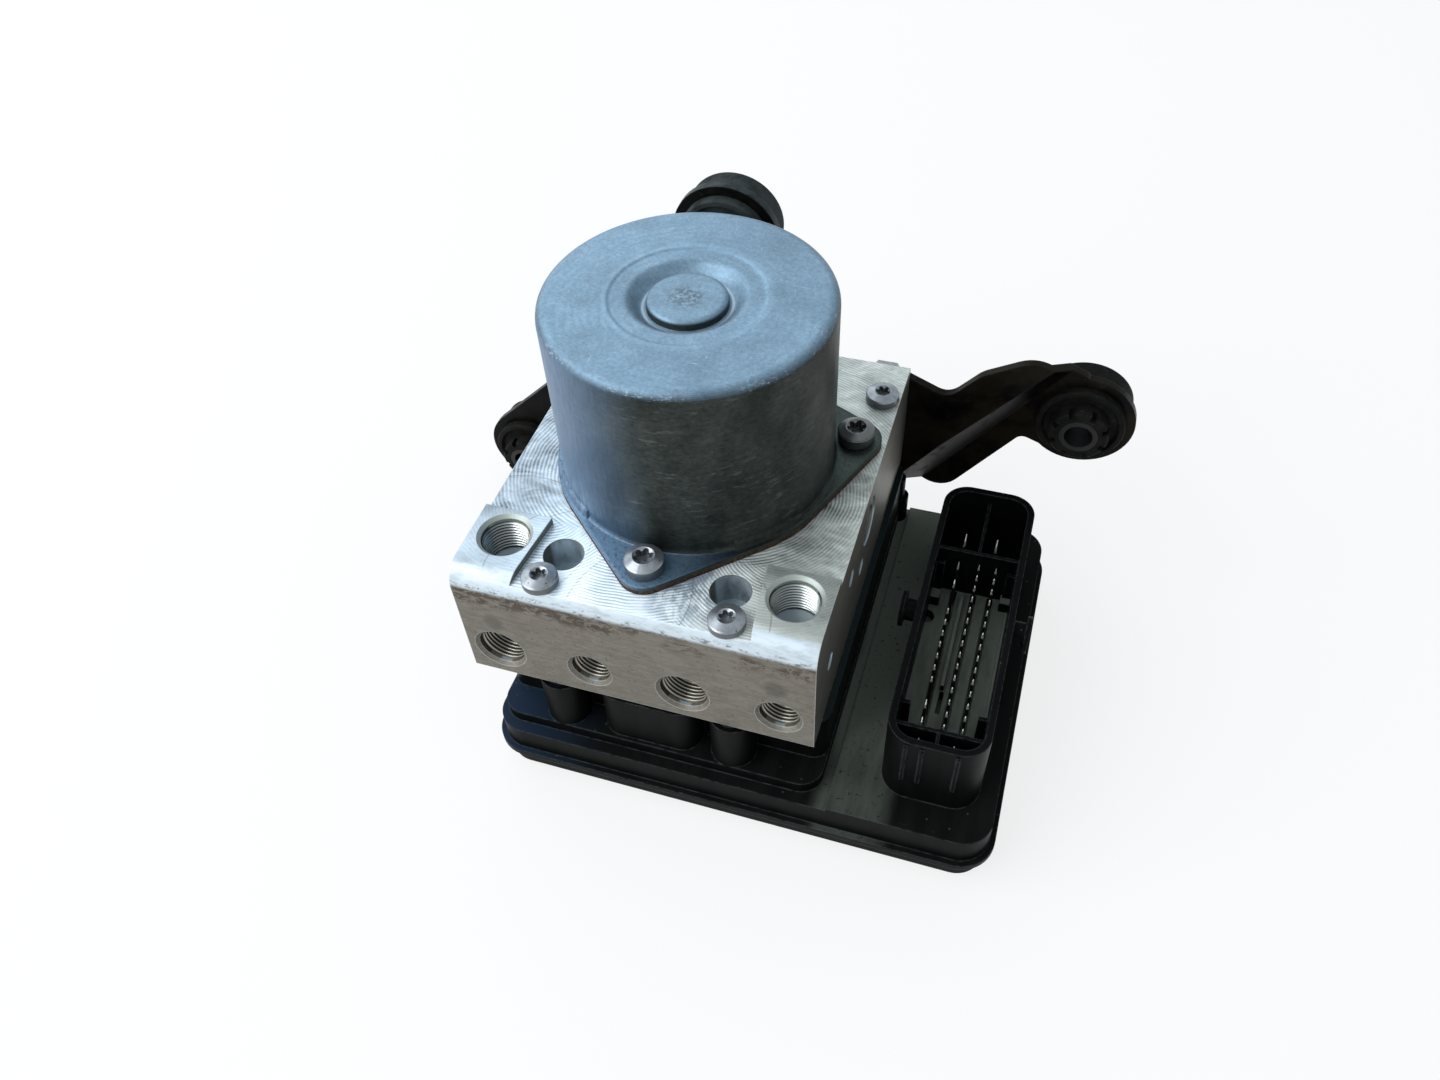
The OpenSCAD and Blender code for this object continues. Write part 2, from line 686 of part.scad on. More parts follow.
module commutator() {
    color("peru") translate([0, 0, commutator_z]) difference() {
        cylinder(h = brush_box_h, r = commutator_r);
        translate([0, 0, -1]) cylinder(h = brush_box_h + 2, r = shaft_r + 0.02);
        for (i = [0:core_slots - 1]) rotate((i + 0.5) * 360 / core_slots)
            translate([commutator_r - 1, -0.2, -1]) cube([2, 0.4, brush_box_h - 1]);
    }
}

module motor_shaft() {
    color("lightgray") {
        translate([0, 0, z_pump + 5]) cylinder(h = bearing_top - z_pump - 5.2, r = shaft_r);
        translate([0, eccentric, z_pump - 5]) cylinder(h = 10.01, r = 5.6);
        translate([0, 0, z_pump - 7.5]) cylinder(h = 3, r = shaft_r);
    }
}

module eccentric_ring() {
    color("silver") translate([0, eccentric, z_pump - 4.6]) difference() {
        cylinder(h = 9.2, r = ring_r);
        translate([0, 0, -1]) cylinder(h = 12, r = 5.6 + running_gap);
    }
}

// Half section of one bearing ring with its ball groove
module race_section(r0, r1) {
    difference() {
        translate([r0, 0]) square([r1 - r0, bearing_h]);
        translate([race_r, bearing_h / 2]) circle(ball_r + 0.06);
    }
}

bearing_places = [bearing_top - bearing_h, z_top - 0.4];

module bearing_outer_rings() {
    color("silver") for (z = bearing_places) translate([0, 0, z]) rotate_extrude()
        race_section(race_r + 0.6, bearing_r - seat_gap);
}

module bearing_inner_rings() {
    color("silver") for (z = bearing_places) translate([0, 0, z]) rotate_extrude()
        race_section(shaft_r + 0.01, race_r - 0.6);
}

module bearing_balls() {
    color("white") for (z = bearing_places, i = [0:7])
        rotate(i * 45) translate([race_r, 0, z + bearing_h / 2]) sphere(ball_r, $fn = 16);
}

module brush_plate() {
    seat_z = z_top - 0.4;
    boss_z = z_top - 3;
    boss_top = seat_z + bearing_h + 0.8;
    box_w = brush_w + 2.8;
    slide_w = brush_w + 0.4;
    cut = 1;
    color("darkgreen") difference() {
        union() {
            translate([0, 0, z_top]) cylinder(h = plate_top - z_top - 1.4, r = can_in_r - seat_gap, $fn = 96);
            translate([0, 0, boss_z]) cylinder(h = boss_top - boss_z, r = well_r - seat_gap);
            both_sides() translate([brush_box_x, -box_w / 2, z_top])
                cube([brush_box_l, box_w, commutator_z + brush_box_h - z_top]);
        }
        translate([0, 0, boss_z - cut]) cylinder(h = boss_top - boss_z + 2 * cut, r = bearing_r - 2);
        translate([0, 0, seat_z]) cylinder(h = boss_top - seat_z + cut, r = bearing_r);
        both_sides() translate([commutator_r - cut, -slide_w / 2, commutator_z])
            cube([brush_box_l + 2 * cut, slide_w, brush_box_h - 1]);
        translate([0, contact_y, z_top - cut]) cylinder(h = contact_up + cut, r = contact_r + seat_gap);
    }
}

module brushes() {
    color("black") both_sides() translate([commutator_r + free_gap, -brush_w / 2, commutator_z + 0.2])
        cube([brush_box_l - brush_in, brush_w, brush_h]);
}

module motor_contact() {
    foot = z_board - board_t / 2;
    color("black") translate([0, contact_y, foot]) cylinder(h = z_top + contact_up - foot, r = contact_r);
}

// Pump and accumulators

module pump_piston() {
    translate([piston_tip, 0, z_pump]) along_x() {
        cylinder(h = piston_l, r = piston_r);
        translate([0, 0, piston_l - 1.5]) cylinder(h = 1.5, r = piston_r);
    }
}

module pump_spring() {
    from = piston_tip + piston_l;
    translate([from, 0, z_pump]) along_x() coil_spring(piston_r - 0.4, 0.45, plug_x - from, 6);
}

module left_pump_piston() { color("silver") mirror([1, 0, 0]) pump_piston(); }
module right_pump_piston() { color("silver") pump_piston(); }
module left_pump_spring() { color("dimgray") mirror([1, 0, 0]) pump_spring(); }
module right_pump_spring() { color("dimgray") pump_spring(); }

cap_h = 2.4;
cup_h = 6;
cup_top = z_block + accumulator_depth - free_gap;

module accumulator_cup(x) {
    color("silver") translate([x, accumulator_y, cup_top - cup_h]) difference() {
        cylinder(h = cup_h, r = accumulator_r);
        translate([0, 0, -1]) cylinder(h = cup_h - 1, r = accumulator_r - 1.6);
    }
}

module accumulator_spring(x) {
    from = z_block + cap_h;
    color("dimgray") translate([x, accumulator_y, from])
        coil_spring(accumulator_r - 3, 0.6, cup_top - 2 - from, 6);
}

module left_accumulator_piston() { accumulator_cup(-accumulator_x); }
module right_accumulator_piston() { accumulator_cup(accumulator_x); }
module left_accumulator_spring() { accumulator_spring(-accumulator_x); }
module right_accumulator_spring() { accumulator_spring(accumulator_x); }

module accumulator_caps() {
    color("silver") for (x = [-accumulator_x, accumulator_x])
        translate([x, accumulator_y, z_block]) cylinder(h = cap_h, r = accumulator_r);
}

// Valves

module valve_cartridges() {
    bore_h = plunger_l + plunger_travel + 0.1;
    color("silver") for (x = valve_x, y = valve_y) translate([x, y, 0]) difference() {
        union() {
            translate([0, 0, z_block]) cylinder(h = valve_depth - 0.5, r = valve_r);
            translate([0, 0, z_block - dome_l]) cylinder(h = dome_l + 1, r = dome_r);
        }
        translate([0, 0, plunger_z - 0.05]) cylinder(h = bore_h, r = plunger_r + running_gap);
        translate([0, 0, plunger_z]) cylinder(h = z_block + valve_depth - plunger_z, r = seat_hole_r);
    }
}

seat_hole_r = 0.9;

plunger_z = z_block - dome_l + 1.2;
plunger_l = dome_l + 2;

// Valves are counted from the left, the inlet row in front. An inlet plunger rests low and an outlet plunger high.
module plunger(i, row) {
    color("darkgray") translate([valve_x[i - 1], valve_y[row], plunger_z + row * plunger_travel])
        cylinder(h = plunger_l, r = plunger_r);
}

module solenoid_coils() {
    coil_h = z_gasket - 1.2 - z_floor;
    color("sienna") for (x = valve_x, y = valve_y) translate([x, y, z_floor]) {
        difference() {
            cylinder(h = coil_h, r = coil_r);
            translate([0, 0, -1]) cylinder(h = coil_h + 2, r = dome_r + 0.15);
        }
        for (s = [-1, 1]) translate([s * 6.6 - 0.4, -0.4, z_board - z_floor]) cube([0.8, 0.8, z_floor - z_board + 0.5]);
    }
}

module pressure_sensor() {
    color("silver") translate([0, sensor_y, 0]) {
        translate([0, 0, z_block]) cylinder(h = 6.5, r = sensor_r);
        translate([0, 0, z_tier]) cylinder(h = z_block - z_tier, r = sensor_r - 1.4);
    }
}

// Electronics

module circuit_board() {
    rim = 1.8 + free_gap;
    color("darkolivegreen") difference() {
        rounded_block(ecu_left - rim, ecu_right - rim, ecu_front - rim, ecu_rear - rim, ecu_corner - rim,
            z_board - board_t, z_board);
        translate([0, contact_y, z_board - board_t / 2]) cylinder(h = board_t, r = contact_r + seat_gap);
    }
}

module housing_cavity() {
    lower = 1.8;
    upper = moulded_wall + 1;
    rounded_block(ecu_left - lower, ecu_right - lower, ecu_front - lower, ecu_rear - lower, ecu_corner - lower,
        cover_h - 1, z_board);
    rounded_block(ecu_left - upper, ecu_right - upper, ecu_front - upper, ecu_rear - upper, ecu_corner - upper,
        z_board - 0.1, z_roof);
}

module chamber_cavity() {
    w = chamber_wall;
    difference() {
        rounded_block(tier_l - w, tier_rt - 0.4 - w, chamber_fr - w, chamber_bk - w, 3, z_floor, z_gasket + 1);
        for (p = posts) translate([p.x, p.y, z_floor - 1]) cylinder(h = z_gasket - z_floor + 3, r = post_r - 0.9);
    }
}

module screw_posts() {
    for (p = posts) translate([p.x, p.y, z_roof]) {
        cylinder(h = z_gasket - z_roof, r = p.y < 0 ? post_r : post_r - 0.9);
        cylinder(h = z_block - z_roof, r = post_r - 1.6);
    }
}

// Round lugs at the rear right corner of the coil chamber
module chamber_lugs() {
    translate([tier_rt - 1.6, chamber_bk - 2, z_ledge]) {
        cylinder(h = z_gasket - z_ledge - 3, r = 2.4);
        translate([0.8, 0.6, 0]) cylinder(h = 9, r = 2.8);
    }
}

module contact_tower() {
    back = motor_setback - 10;
    translate([1, 0, 0]) difference() {
        rounded_block(tower_w / 2, tower_w / 2, motor_setback, -back + 2, 5, z_plate, z_gasket);
        rounded_block(tower_w / 2 - 2, tower_w / 2 - 2, motor_setback - 2, -back, 3, z_tier, z_gasket + 1);
    }
}

// Inside of the connector, from the cross walls to the floor between the pins
cross_t = 1;
cross_front = -shroud_front + front_chamber;
cross_rear = shroud_rear - rear_chamber;
cross_drop = 1.5;
z_socket = z_plate + socket_floor;
socket_l = shroud_x - shroud_w / 2 + shroud_wall;
socket_r = shroud_x + shroud_w / 2 - shroud_wall;
slot_depth = 3.6;

// Places of the three pin rows across the connector, and how many pins fit along it
row_x = [shroud_x - 4.7, shroud_x + 0.75, shroud_x + 5.3];
row_start = cross_rear - cross_t - 0.7;
row_count = floor((row_start - cross_front - cross_t - 3) / pin_pitch) + 1;

module socket_floor_plate() {
    run = cross_rear - cross_front - cross_t;
    recess_y = 3.3;
    recess_r = 2.2;
    key_slot_in = 2.3;
    key_slot_y = -27.4;
    key_slot = [1.1, 7];
    difference() {
        translate([socket_l - 0.5, cross_front + 0.5, z_plate - 0.5])
            cube([socket_r - socket_l + 1, run, socket_floor + 0.5]);
        for (x = row_x)
            translate([x - slot_w / 2, cross_front + cross_t + 1, z_socket - slot_depth])
                cube([slot_w, run - 2.4, slot_depth + 1]);
        translate([socket_l, recess_y, z_socket - 3]) cylinder(h = 4, r = recess_r);
        translate([row_x[0] + key_slot_in, key_slot_y, z_socket - slot_depth])
            cube([key_slot.x, key_slot.y, slot_depth + 1]);
    }
}

// Rib, plates and blocks that let only the right plug in
module socket_keys() {
    translate([row_x[0] + 2.1, -20, z_socket - 0.5]) cube([1, cross_rear - cross_t + 18, 2.7]);
    for (y = [cross_front + 9, cross_rear - 1.9 - cross_t])
        for (x = [socket_l - 0.5, socket_r - 2.3])
            translate([x, y, z_socket - 0.5]) cube([2.8, 1, z_shroud - z_socket - 5]);
    translate([socket_l - 0.5, cross_rear - 7.6, z_socket - 0.5]) cube([3, 3.2, 4]);
    translate([socket_r - 2.7, cross_rear - 5, z_socket - 0.5]) cube([3.2, 3.2, 4]);
    translate([socket_r - 0.7, cross_front + 3, z_socket - 0.5]) cube([1.2, cross_rear - cross_front - 9, 1.8]);
}

module socket_walls() {
    w = shroud_w - 2;
    h = shroud_h - cross_drop;
    for (y = [cross_front, cross_rear - cross_t])
        translate([shroud_x - w / 2, y, z_plate - 0.5]) cube([w, cross_t, h + 0.5]);
    // Walls between the two blades at each end
    translate([shroud_x - 0.4, -shroud_front + 1, z_plate - 0.5]) cube([0.8, front_chamber - 0.5, h]);
    translate([shroud_x - 0.4, cross_rear - 0.5, z_plate - 0.5]) cube([0.8, rear_chamber - 0.5, h - 1.5]);
}

module lever_pegs() {
    both_peg_sides() translate([shroud_w / 2 - 0.5, -6.3, z_shroud - 4.9]) along_x() {
        cylinder(h = 4.2, r = 3);
        translate([0, 0, 3.6]) cylinder(h = 1.1, r = 4.8);
    }
}

// Guide ribs on the two end walls
module guide_ribs() {
    for (x = [-6.8, -2.9, 5.7]) {
        translate([shroud_x + x - 0.5, -shroud_front - 0.7, z_plate + 9]) cube([1, 1.6, shroud_h - 10.5]);
        translate([shroud_x + x - 0.5, shroud_rear - 0.9, z_plate + 9]) cube([1, 1.6, shroud_h - 10.5]);
    }
}

module connector_shroud() {
    l = -shroud_x + shroud_w / 2;
    r = shroud_x + shroud_w / 2;
    w = shroud_wall;
    difference() {
        rounded_block(l, r, shroud_front, shroud_rear, shroud_corner, z_roof, z_shroud);
        rounded_block(l - w, r - w, shroud_front - w, shroud_rear - w, shroud_corner - w, z_plate, z_shroud + 1);
    }
    socket_floor_plate();
    socket_keys();
    socket_walls();
    lever_pegs();
    guide_ribs();
}

module both_peg_sides() {
    translate([shroud_x, 0, 0]) {
        children();
        mirror([1, 0, 0]) children();
    }
}

module ecu_housing() {
    color("#20252a") difference() {
        union() {
            rounded_block(ecu_left + rim_out, ecu_right + rim_out, ecu_front + rim_out, ecu_rear + rim_out,
                ecu_corner + rim_out, cover_h, z_wall);
            rounded_block(ecu_left, ecu_right, ecu_front, ecu_rear, ecu_corner, cover_h, z_ledge);
            intersection() {
                rounded_block(ecu_left, ecu_right, ecu_front, ecu_rear, ecu_corner, cover_h, z_plate);
                translate([groove_x, -ecu_front - 1, z_ledge - 1])
                    cube([ecu_right, ecu_front + ecu_rear + 2, 1 + ledge_drop]);
            }
            rounded_block(tier_l, tier_rt, tier_fr, tier_bk, 6, z_ledge - 1, z_tier);
            rounded_block(tier_l, tier_rt - 0.4, chamber_fr, chamber_bk, 4, z_ledge, z_gasket);
            screw_posts();
            contact_tower();
            chamber_lugs();
            connector_shroud();
        }
        housing_cavity();
        chamber_cavity();
        for (p = posts) translate([p.x, p.y, z_tier + 1]) cylinder(h = z_block - z_tier, r = long_screw_r + seat_gap);
        for (x = valve_x, y = valve_y, s = [-1, 1])
            translate([x + s * 6.6 - 0.6, y - 0.6, z_roof - 1]) cube([1.2, 1.2, z_floor - z_roof + 2]);
        translate([0, contact_y, z_roof - 1]) cylinder(h = z_floor - z_roof + 2, r = contact_r + free_gap);
    }
}

module ecu_cover() {
    inset = 0.6;
    bevel = 1.5;
    l = ecu_left - inset;
    r = ecu_right - inset;
    f = ecu_front - inset;
    b = ecu_rear - inset;
    color("#2b2b2b") difference() {
        union() {
            rounded_block(l, r, f, b, ecu_corner - inset, bevel, cover_h);
            rounded_block(l - bevel / 2, r - bevel / 2, f - bevel / 2, b - bevel / 2, ecu_corner - inset - bevel / 2,
                bevel / 2, bevel);
            rounded_block(l - bevel, r - bevel, f - bevel, b - bevel, ecu_corner - inset - bevel, 0, bevel / 2);
        }
        rounded_block(l - 2, r - 2, f - 2, b - 2, ecu_corner - inset - 2, 2.2, cover_h + 1);
    }
}

module block_gasket() {
    color("#1f4a50") difference() {
        rounded_block(tier_l, tier_rt, chamber_fr, chamber_bk, 4, z_gasket, z_block);
        rounded_block(tier_l - 3, tier_rt - 3.4, chamber_fr - 3, chamber_bk - 3, 3, z_gasket - 1, z_block + 1);
        for (p = posts) translate([p.x, p.y, z_gasket - 1]) cylinder(h = gasket_t + 2, r = post_r - 1.6 + free_gap);
    }
}

// Flat contact that rises from the circuit board to a pointed tip, narrow across and w long
module contact(t, w, tip, z1) {
    h = z1 - z_board;
    translate([0, w / 2, z_board]) rotate([90, 0, 0]) linear_extrude(w)
        polygon([[-t / 2, 0], [t / 2, 0], [t / 2, h - tip], [t / 6, h], [-t / 6, h], [-t / 2, h - tip]]);
}

module signal_pins() {
    z1 = z_shroud - pin_recess;
    middle = (row_count - 1) / 2;
    color("silver") {
        for (x = [row_x[1], row_x[2]], i = [0:row_count - 1])
            translate([x, row_start - i * pin_pitch, 0]) contact(pin_w, pin_w, 1.8, z1);
        for (i = [-2.5:3.5])
            translate([row_x[0], row_start - (middle + i) * pin_pitch, 0]) contact(pin_w, pin_w, 1.8, z1);
        for (i = [0.2, 1.95, row_count - 2.45, row_count - 1.05])
            translate([row_x[0], row_start - i * pin_pitch, 0]) contact(pin_w, tab_w, 2.4, z1);
    }
}

module power_blades() {
    z1 = z_shroud - pin_recess + 0.8;
    front = -shroud_front + front_chamber - 2;
    rear = cross_rear + 6.8;
    color("silver") for (x = [-4.4, 4.1], y = [front, rear])
        translate([shroud_x + x, y, 0]) contact(0.8, y < 0 ? blade_w - 0.6 : blade_w, 3.4, z1);
}

// Bracket

// Front view of the bracket, across and up
module bracket_outline() {
    s = x_side;
    polygon(outline([
        [-s - 6, z_block + 2, 8], [-s + 10, z_block - 4, 10], [s - 8, z_block - 5, 12], [s + 12, z_block - 17.6, 7],
        [s + 32.1, z_block + 10.4, 2.5], [right_eye.x - 9, right_eye.y - 11, 1], [right_eye.x, right_eye.y, 0],
        [right_eye.x + 1, right_eye.y + eye_r, 4], [s + 31.6, z_top + 6, 9], [s + 19, z_top + 0.2, 8],
        [s + 11, z_top - 8.4, 5], [s - 4, z_top - 2, 4], [top_eye.x + 24, z_top - 3, 14],
        [top_eye.x + 13, z_top + 20, 10], [top_eye.x + 13, top_eye.y, 0], [top_eye.x - 13, top_eye.y, 0],
        [top_eye.x - 13, z_top + 20, 10], [top_eye.x - 24, z_top - 3, 14], [-s + 4, z_top - 3, 8],
        [left_eye.x - eye_r * 0.7, left_eye.y + eye_r * 0.72, 0], [left_eye.x + eye_r * 0.7, left_eye.y - eye_r * 0.7, 0]]));
    for (e = [right_eye, left_eye, top_eye]) translate(e) circle(eye_r);
}

// Longer than any piece, for cuts that run right through
far = 2 * ecu_right;

// Top view of the left half of the bent sheet, across and back
module left_bend() {
    t = bracket_t;
    polygon([[-far, left_eye_y], [-x_side - 18, left_eye_y], [-x_side - 9, y_rear], [0.5, y_rear],
        [0.5, y_rear + t], [-x_side - 9.6, y_rear + t], [-x_side - 18.6, left_eye_y + t], [-far, left_eye_y + t]]);
}

// Folds of the right arm: an upright one, where the sheet begins to lean back, and a slanting one, where it steps back
fold_x = x_side + 10.65;
fold_z = z_block + 8.4;
fold_lean = 36;
arm_lean = 8;
step_run = 9;
step_lean = atan(right_joggle / step_run);

// Everything behind the front face of the right half, with the face moved back by a distance
module behind(y) { translate([0, y, -far]) cube([far, far, 3 * far]); }

module behind_sheet(back) {
    intersection() {
        behind(y_rear + back);
        translate([fold_x, y_rear, 0]) rotate(arm_lean) translate([-far, back, -far]) cube([2 * far, far, 3 * far]);
        translate([fold_x, y_rear, fold_z]) rotate([0, fold_lean, 0]) rotate(step_lean)
            translate([-far, back, -far]) cube([2 * far, far, 2 * far]);
    }
    behind(right_eye_y + back);
}

// Places of the three bushes: eye centre across and up, and the front face of the sheet there
bush_places = [[left_eye, left_eye_y], [right_eye, right_eye_y], [top_eye, y_rear]];

module at_bush(i) {
    translate([bush_places[i][0].x, bush_places[i][1], bush_places[i][0].y]) along_y() children();
}

module bracket() {
    color("#141414") difference() {
        intersection() {
            translate([0, far, 0]) rotate([90, 0, 0]) linear_extrude(2 * far) bracket_outline();
            union() {
                translate([0, 0, -far]) linear_extrude(3 * far) left_bend();
                difference() {
                    behind_sheet(0);
                    behind_sheet(bracket_t);
                }
            }
        }
        for (i = [0:2]) at_bush(i) translate([0, 0, -2]) cylinder(h = bracket_t + 4, r = bush_neck_r + seat_gap);
        for (p = bolt_places)
            translate([p.x, y_rear - 1, p.y]) along_y() cylinder(h = bracket_t + 2, r = bolt_r + free_gap);
    }
}

module bracket_bolts() {
    color("silver") for (p = bolt_places) translate([p.x, y_rear + bracket_t, p.y]) along_y() {
        translate([0, 0, -bracket_t - bolt_depth]) cylinder(h = bolt_depth + bracket_t + 0.5, r = bolt_r);
        cylinder(h = 1.2, r = bolt_head_r);
        cylinder(h = 6.2, r = bolt_head_r - 1.4, $fn = 6);
    }
}

module bush() {
    back = bracket_t + bush_disc_t;
    in_r = sleeve_r + seat_gap;
    difference() {
        rotate_extrude() polygon([[in_r, -hub_l], [hub_r - 0.5, -hub_l], [hub_r, -hub_l + 0.5], [hub_r, -1.4],
            [bush_ring_r - 2.2, -1.4], [bush_ring_r - 1.6, -2.6], [bush_ring_r - 0.4, -2.6], [bush_ring_r, -2],
            [bush_ring_r, 0], [bush_neck_r, 0], [bush_neck_r, bracket_t], [bush_disc_r, bracket_t],
            [bush_disc_r, back - 1.8], [bush_disc_r - 1.6, back], [in_r, back]]);
        for (a = [22.5:45:337.5]) rotate(a) translate([sleeve_r + 1.2, -0.8, -hub_l - 1])
            cube([hub_r, 1.6, 4.2]);
    }
}

module sleeve() {
    translate([0, 0, -hub_l]) difference() {
        cylinder(h = hub_l + bracket_t + bush_disc_t + 0.5, r = sleeve_r);
        translate([0, 0, -1]) cylinder(h = hub_l + bracket_t + bush_disc_t + 3, r = sleeve_bore_r);
    }
}

module left_bush() { color("#1b1b1b") at_bush(0) bush(); }
module right_bush() { color("#1b1b1b") at_bush(1) bush(); }
module top_bush() { color("#1b1b1b") at_bush(2) bush(); }
module left_sleeve() { color("#2a2a2a") at_bush(0) sleeve(); }
module right_sleeve() { color("#2a2a2a") at_bush(1) sleeve(); }
module top_sleeve() { color("#2a2a2a") at_bush(2) sleeve(); }

valve_block();
motor_can();
motor_screws();
housing_screws();
pump_plugs();
ball_plugs();
ecu_housing();
ecu_cover();
block_gasket();
circuit_board();
signal_pins();
power_blades();
solenoid_coils();
valve_cartridges();
plunger(1, 0);  // inlet_plunger_1
plunger(2, 0);  // inlet_plunger_2
plunger(3, 0);  // inlet_plunger_3
plunger(4, 0);  // inlet_plunger_4
plunger(1, 1);  // outlet_plunger_1
plunger(2, 1);  // outlet_plunger_2
plunger(3, 1);  // outlet_plunger_3
plunger(4, 1);  // outlet_plunger_4
pressure_sensor();
motor_magnets();
armature_core();
armature_windings();
commutator();
motor_shaft();
eccentric_ring();
bearing_outer_rings();
bearing_inner_rings();
bearing_balls();
brush_plate();
brushes();
motor_contact();
left_pump_piston();
right_pump_piston();
left_pump_spring();
right_pump_spring();
left_accumulator_piston();
right_accumulator_piston();
left_accumulator_spring();
right_accumulator_spring();
accumulator_caps();
bracket();
bracket_bolts();
left_bush();
right_bush();
top_bush();
left_sleeve();
right_sleeve();
top_sleeve();
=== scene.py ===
from math import cos, pi, sin

import bpy
from mathutils import Matrix, Vector


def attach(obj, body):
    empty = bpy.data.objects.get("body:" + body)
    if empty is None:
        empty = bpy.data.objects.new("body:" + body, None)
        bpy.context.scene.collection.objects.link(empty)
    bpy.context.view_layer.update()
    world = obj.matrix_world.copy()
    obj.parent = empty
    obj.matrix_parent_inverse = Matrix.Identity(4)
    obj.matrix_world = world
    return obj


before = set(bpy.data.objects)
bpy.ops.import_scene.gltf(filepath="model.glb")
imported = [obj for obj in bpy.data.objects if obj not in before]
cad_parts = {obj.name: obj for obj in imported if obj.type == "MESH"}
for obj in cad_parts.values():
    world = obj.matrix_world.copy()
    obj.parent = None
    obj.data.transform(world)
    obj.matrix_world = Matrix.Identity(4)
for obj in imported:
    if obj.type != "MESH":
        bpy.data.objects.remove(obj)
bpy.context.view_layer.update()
MM = 0.001
MM_PER_METRE = 1000.0

# Heights, places and radii of the part, in millimetres
TOP = 73.0                  # milled top of the block
PAD = 75.1                  # top of its two port pads
FRONT = -53.9               # its front face
PORT_PITCH = 24.0
PORT_XS = (-36.0, -12.0, 12.0, 36.0)
PORT_Z = 47.6
TOP_PORT_Y = -39.5
LARGE, SMALL = 6.0, 5.0     # radii of the ports at the roots of their threads
PORT_DEPTH = 11.5
THREAD_DEPTH = 0.55
FLANGE = 75.2               # upper face of the can's flange
CAN_TOP = 123.5
SHOULDER = 28.0             # radius where the can's top starts to round off
PRESSED_RING = 18.3         # radius of the ring in the can's top
SEAT = 10.3                 # radius of the bearing seat
RIGHT_EAR = (36.8, 14.9)    # place of the screw in the flange's right ear
PLATE = 18.3                # upper face of the housing, beside the block
PLATE_LEFT, PLATE_RIGHT = 46.0, 64.0
SOCKET_LEFT, SOCKET_RIGHT = 61.0, 84.0
SOCKET_FRONT, SOCKET_REAR = -43.0, 36.0
PIN_TOP = 37.9


# Camera, as the photograph was taken

EYE = Vector((76.7, -195.26, 276.6)) * MM
LOOK = Vector((-0.2315, 0.6228, -0.7473))
UPWARD = Vector((-0.2009, 0.7211, 0.6631))
LENS, SENSOR = 28.562, 36


def set_camera():
    look = LOOK.normalized()
    right = look.cross(UPWARD).normalized()
    up = right.cross(look)
    camera = bpy.data.objects.new("camera", bpy.data.cameras.new("camera"))
    camera.data.sensor_fit = "HORIZONTAL"
    camera.data.sensor_width = SENSOR
    camera.data.lens = LENS
    camera.data.clip_start = 0.01
    turn = Matrix((right, up, -look)).transposed().to_4x4()
    camera.matrix_world = Matrix.Translation(EYE) @ turn
    bpy.context.scene.collection.objects.link(camera)
    bpy.context.scene.camera = camera


set_camera()
bpy.context.scene.view_settings.view_transform = "Standard"


# Finishes

class Field:
    """A number that varies over a surface. Python's operators add the Math nodes."""

    def __init__(self, finish, socket):
        self.finish, self.socket = finish, socket

    def maths(self, operation, *others):
        return self.finish.node("Math", {"operation": operation}, self, *others)

    def __add__(self, other):
        return self.maths("ADD", other)

    def __sub__(self, other):
        return self.maths("SUBTRACT", other)

    def __rsub__(self, other):
        return self.finish.node("Math", {"operation": "SUBTRACT"}, other, self)

    def __mul__(self, other):
        return self.maths("MULTIPLY", other)

    def __truediv__(self, other):
        return self.maths("DIVIDE", other)

    def __abs__(self):
        return self.maths("ABSOLUTE")

    __radd__ = __add__
    __rmul__ = __mul__

    def root(self):
        return self.maths("MAXIMUM", 0.0).maths("SQRT")

    def sine(self):
        return self.maths("SINE")

    def capped(self):
        """The number, or 1 where it is more."""
        return self.maths("MINIMUM", 1.0)

    def above(self, level, soft):
        """1 where the number is over the level, 0 where it is under, with a soft step."""
        step = {"interpolation_type": "SMOOTHSTEP"}
        return self.finish.node("MapRange", step, self, level - soft, level + soft, 0.0, 1.0)

    def below(self, level, soft):
        return 1 - self.above(level, soft)

    def within(self, low, high, soft):
        return self.above(low, soft) * self.below(high, soft)


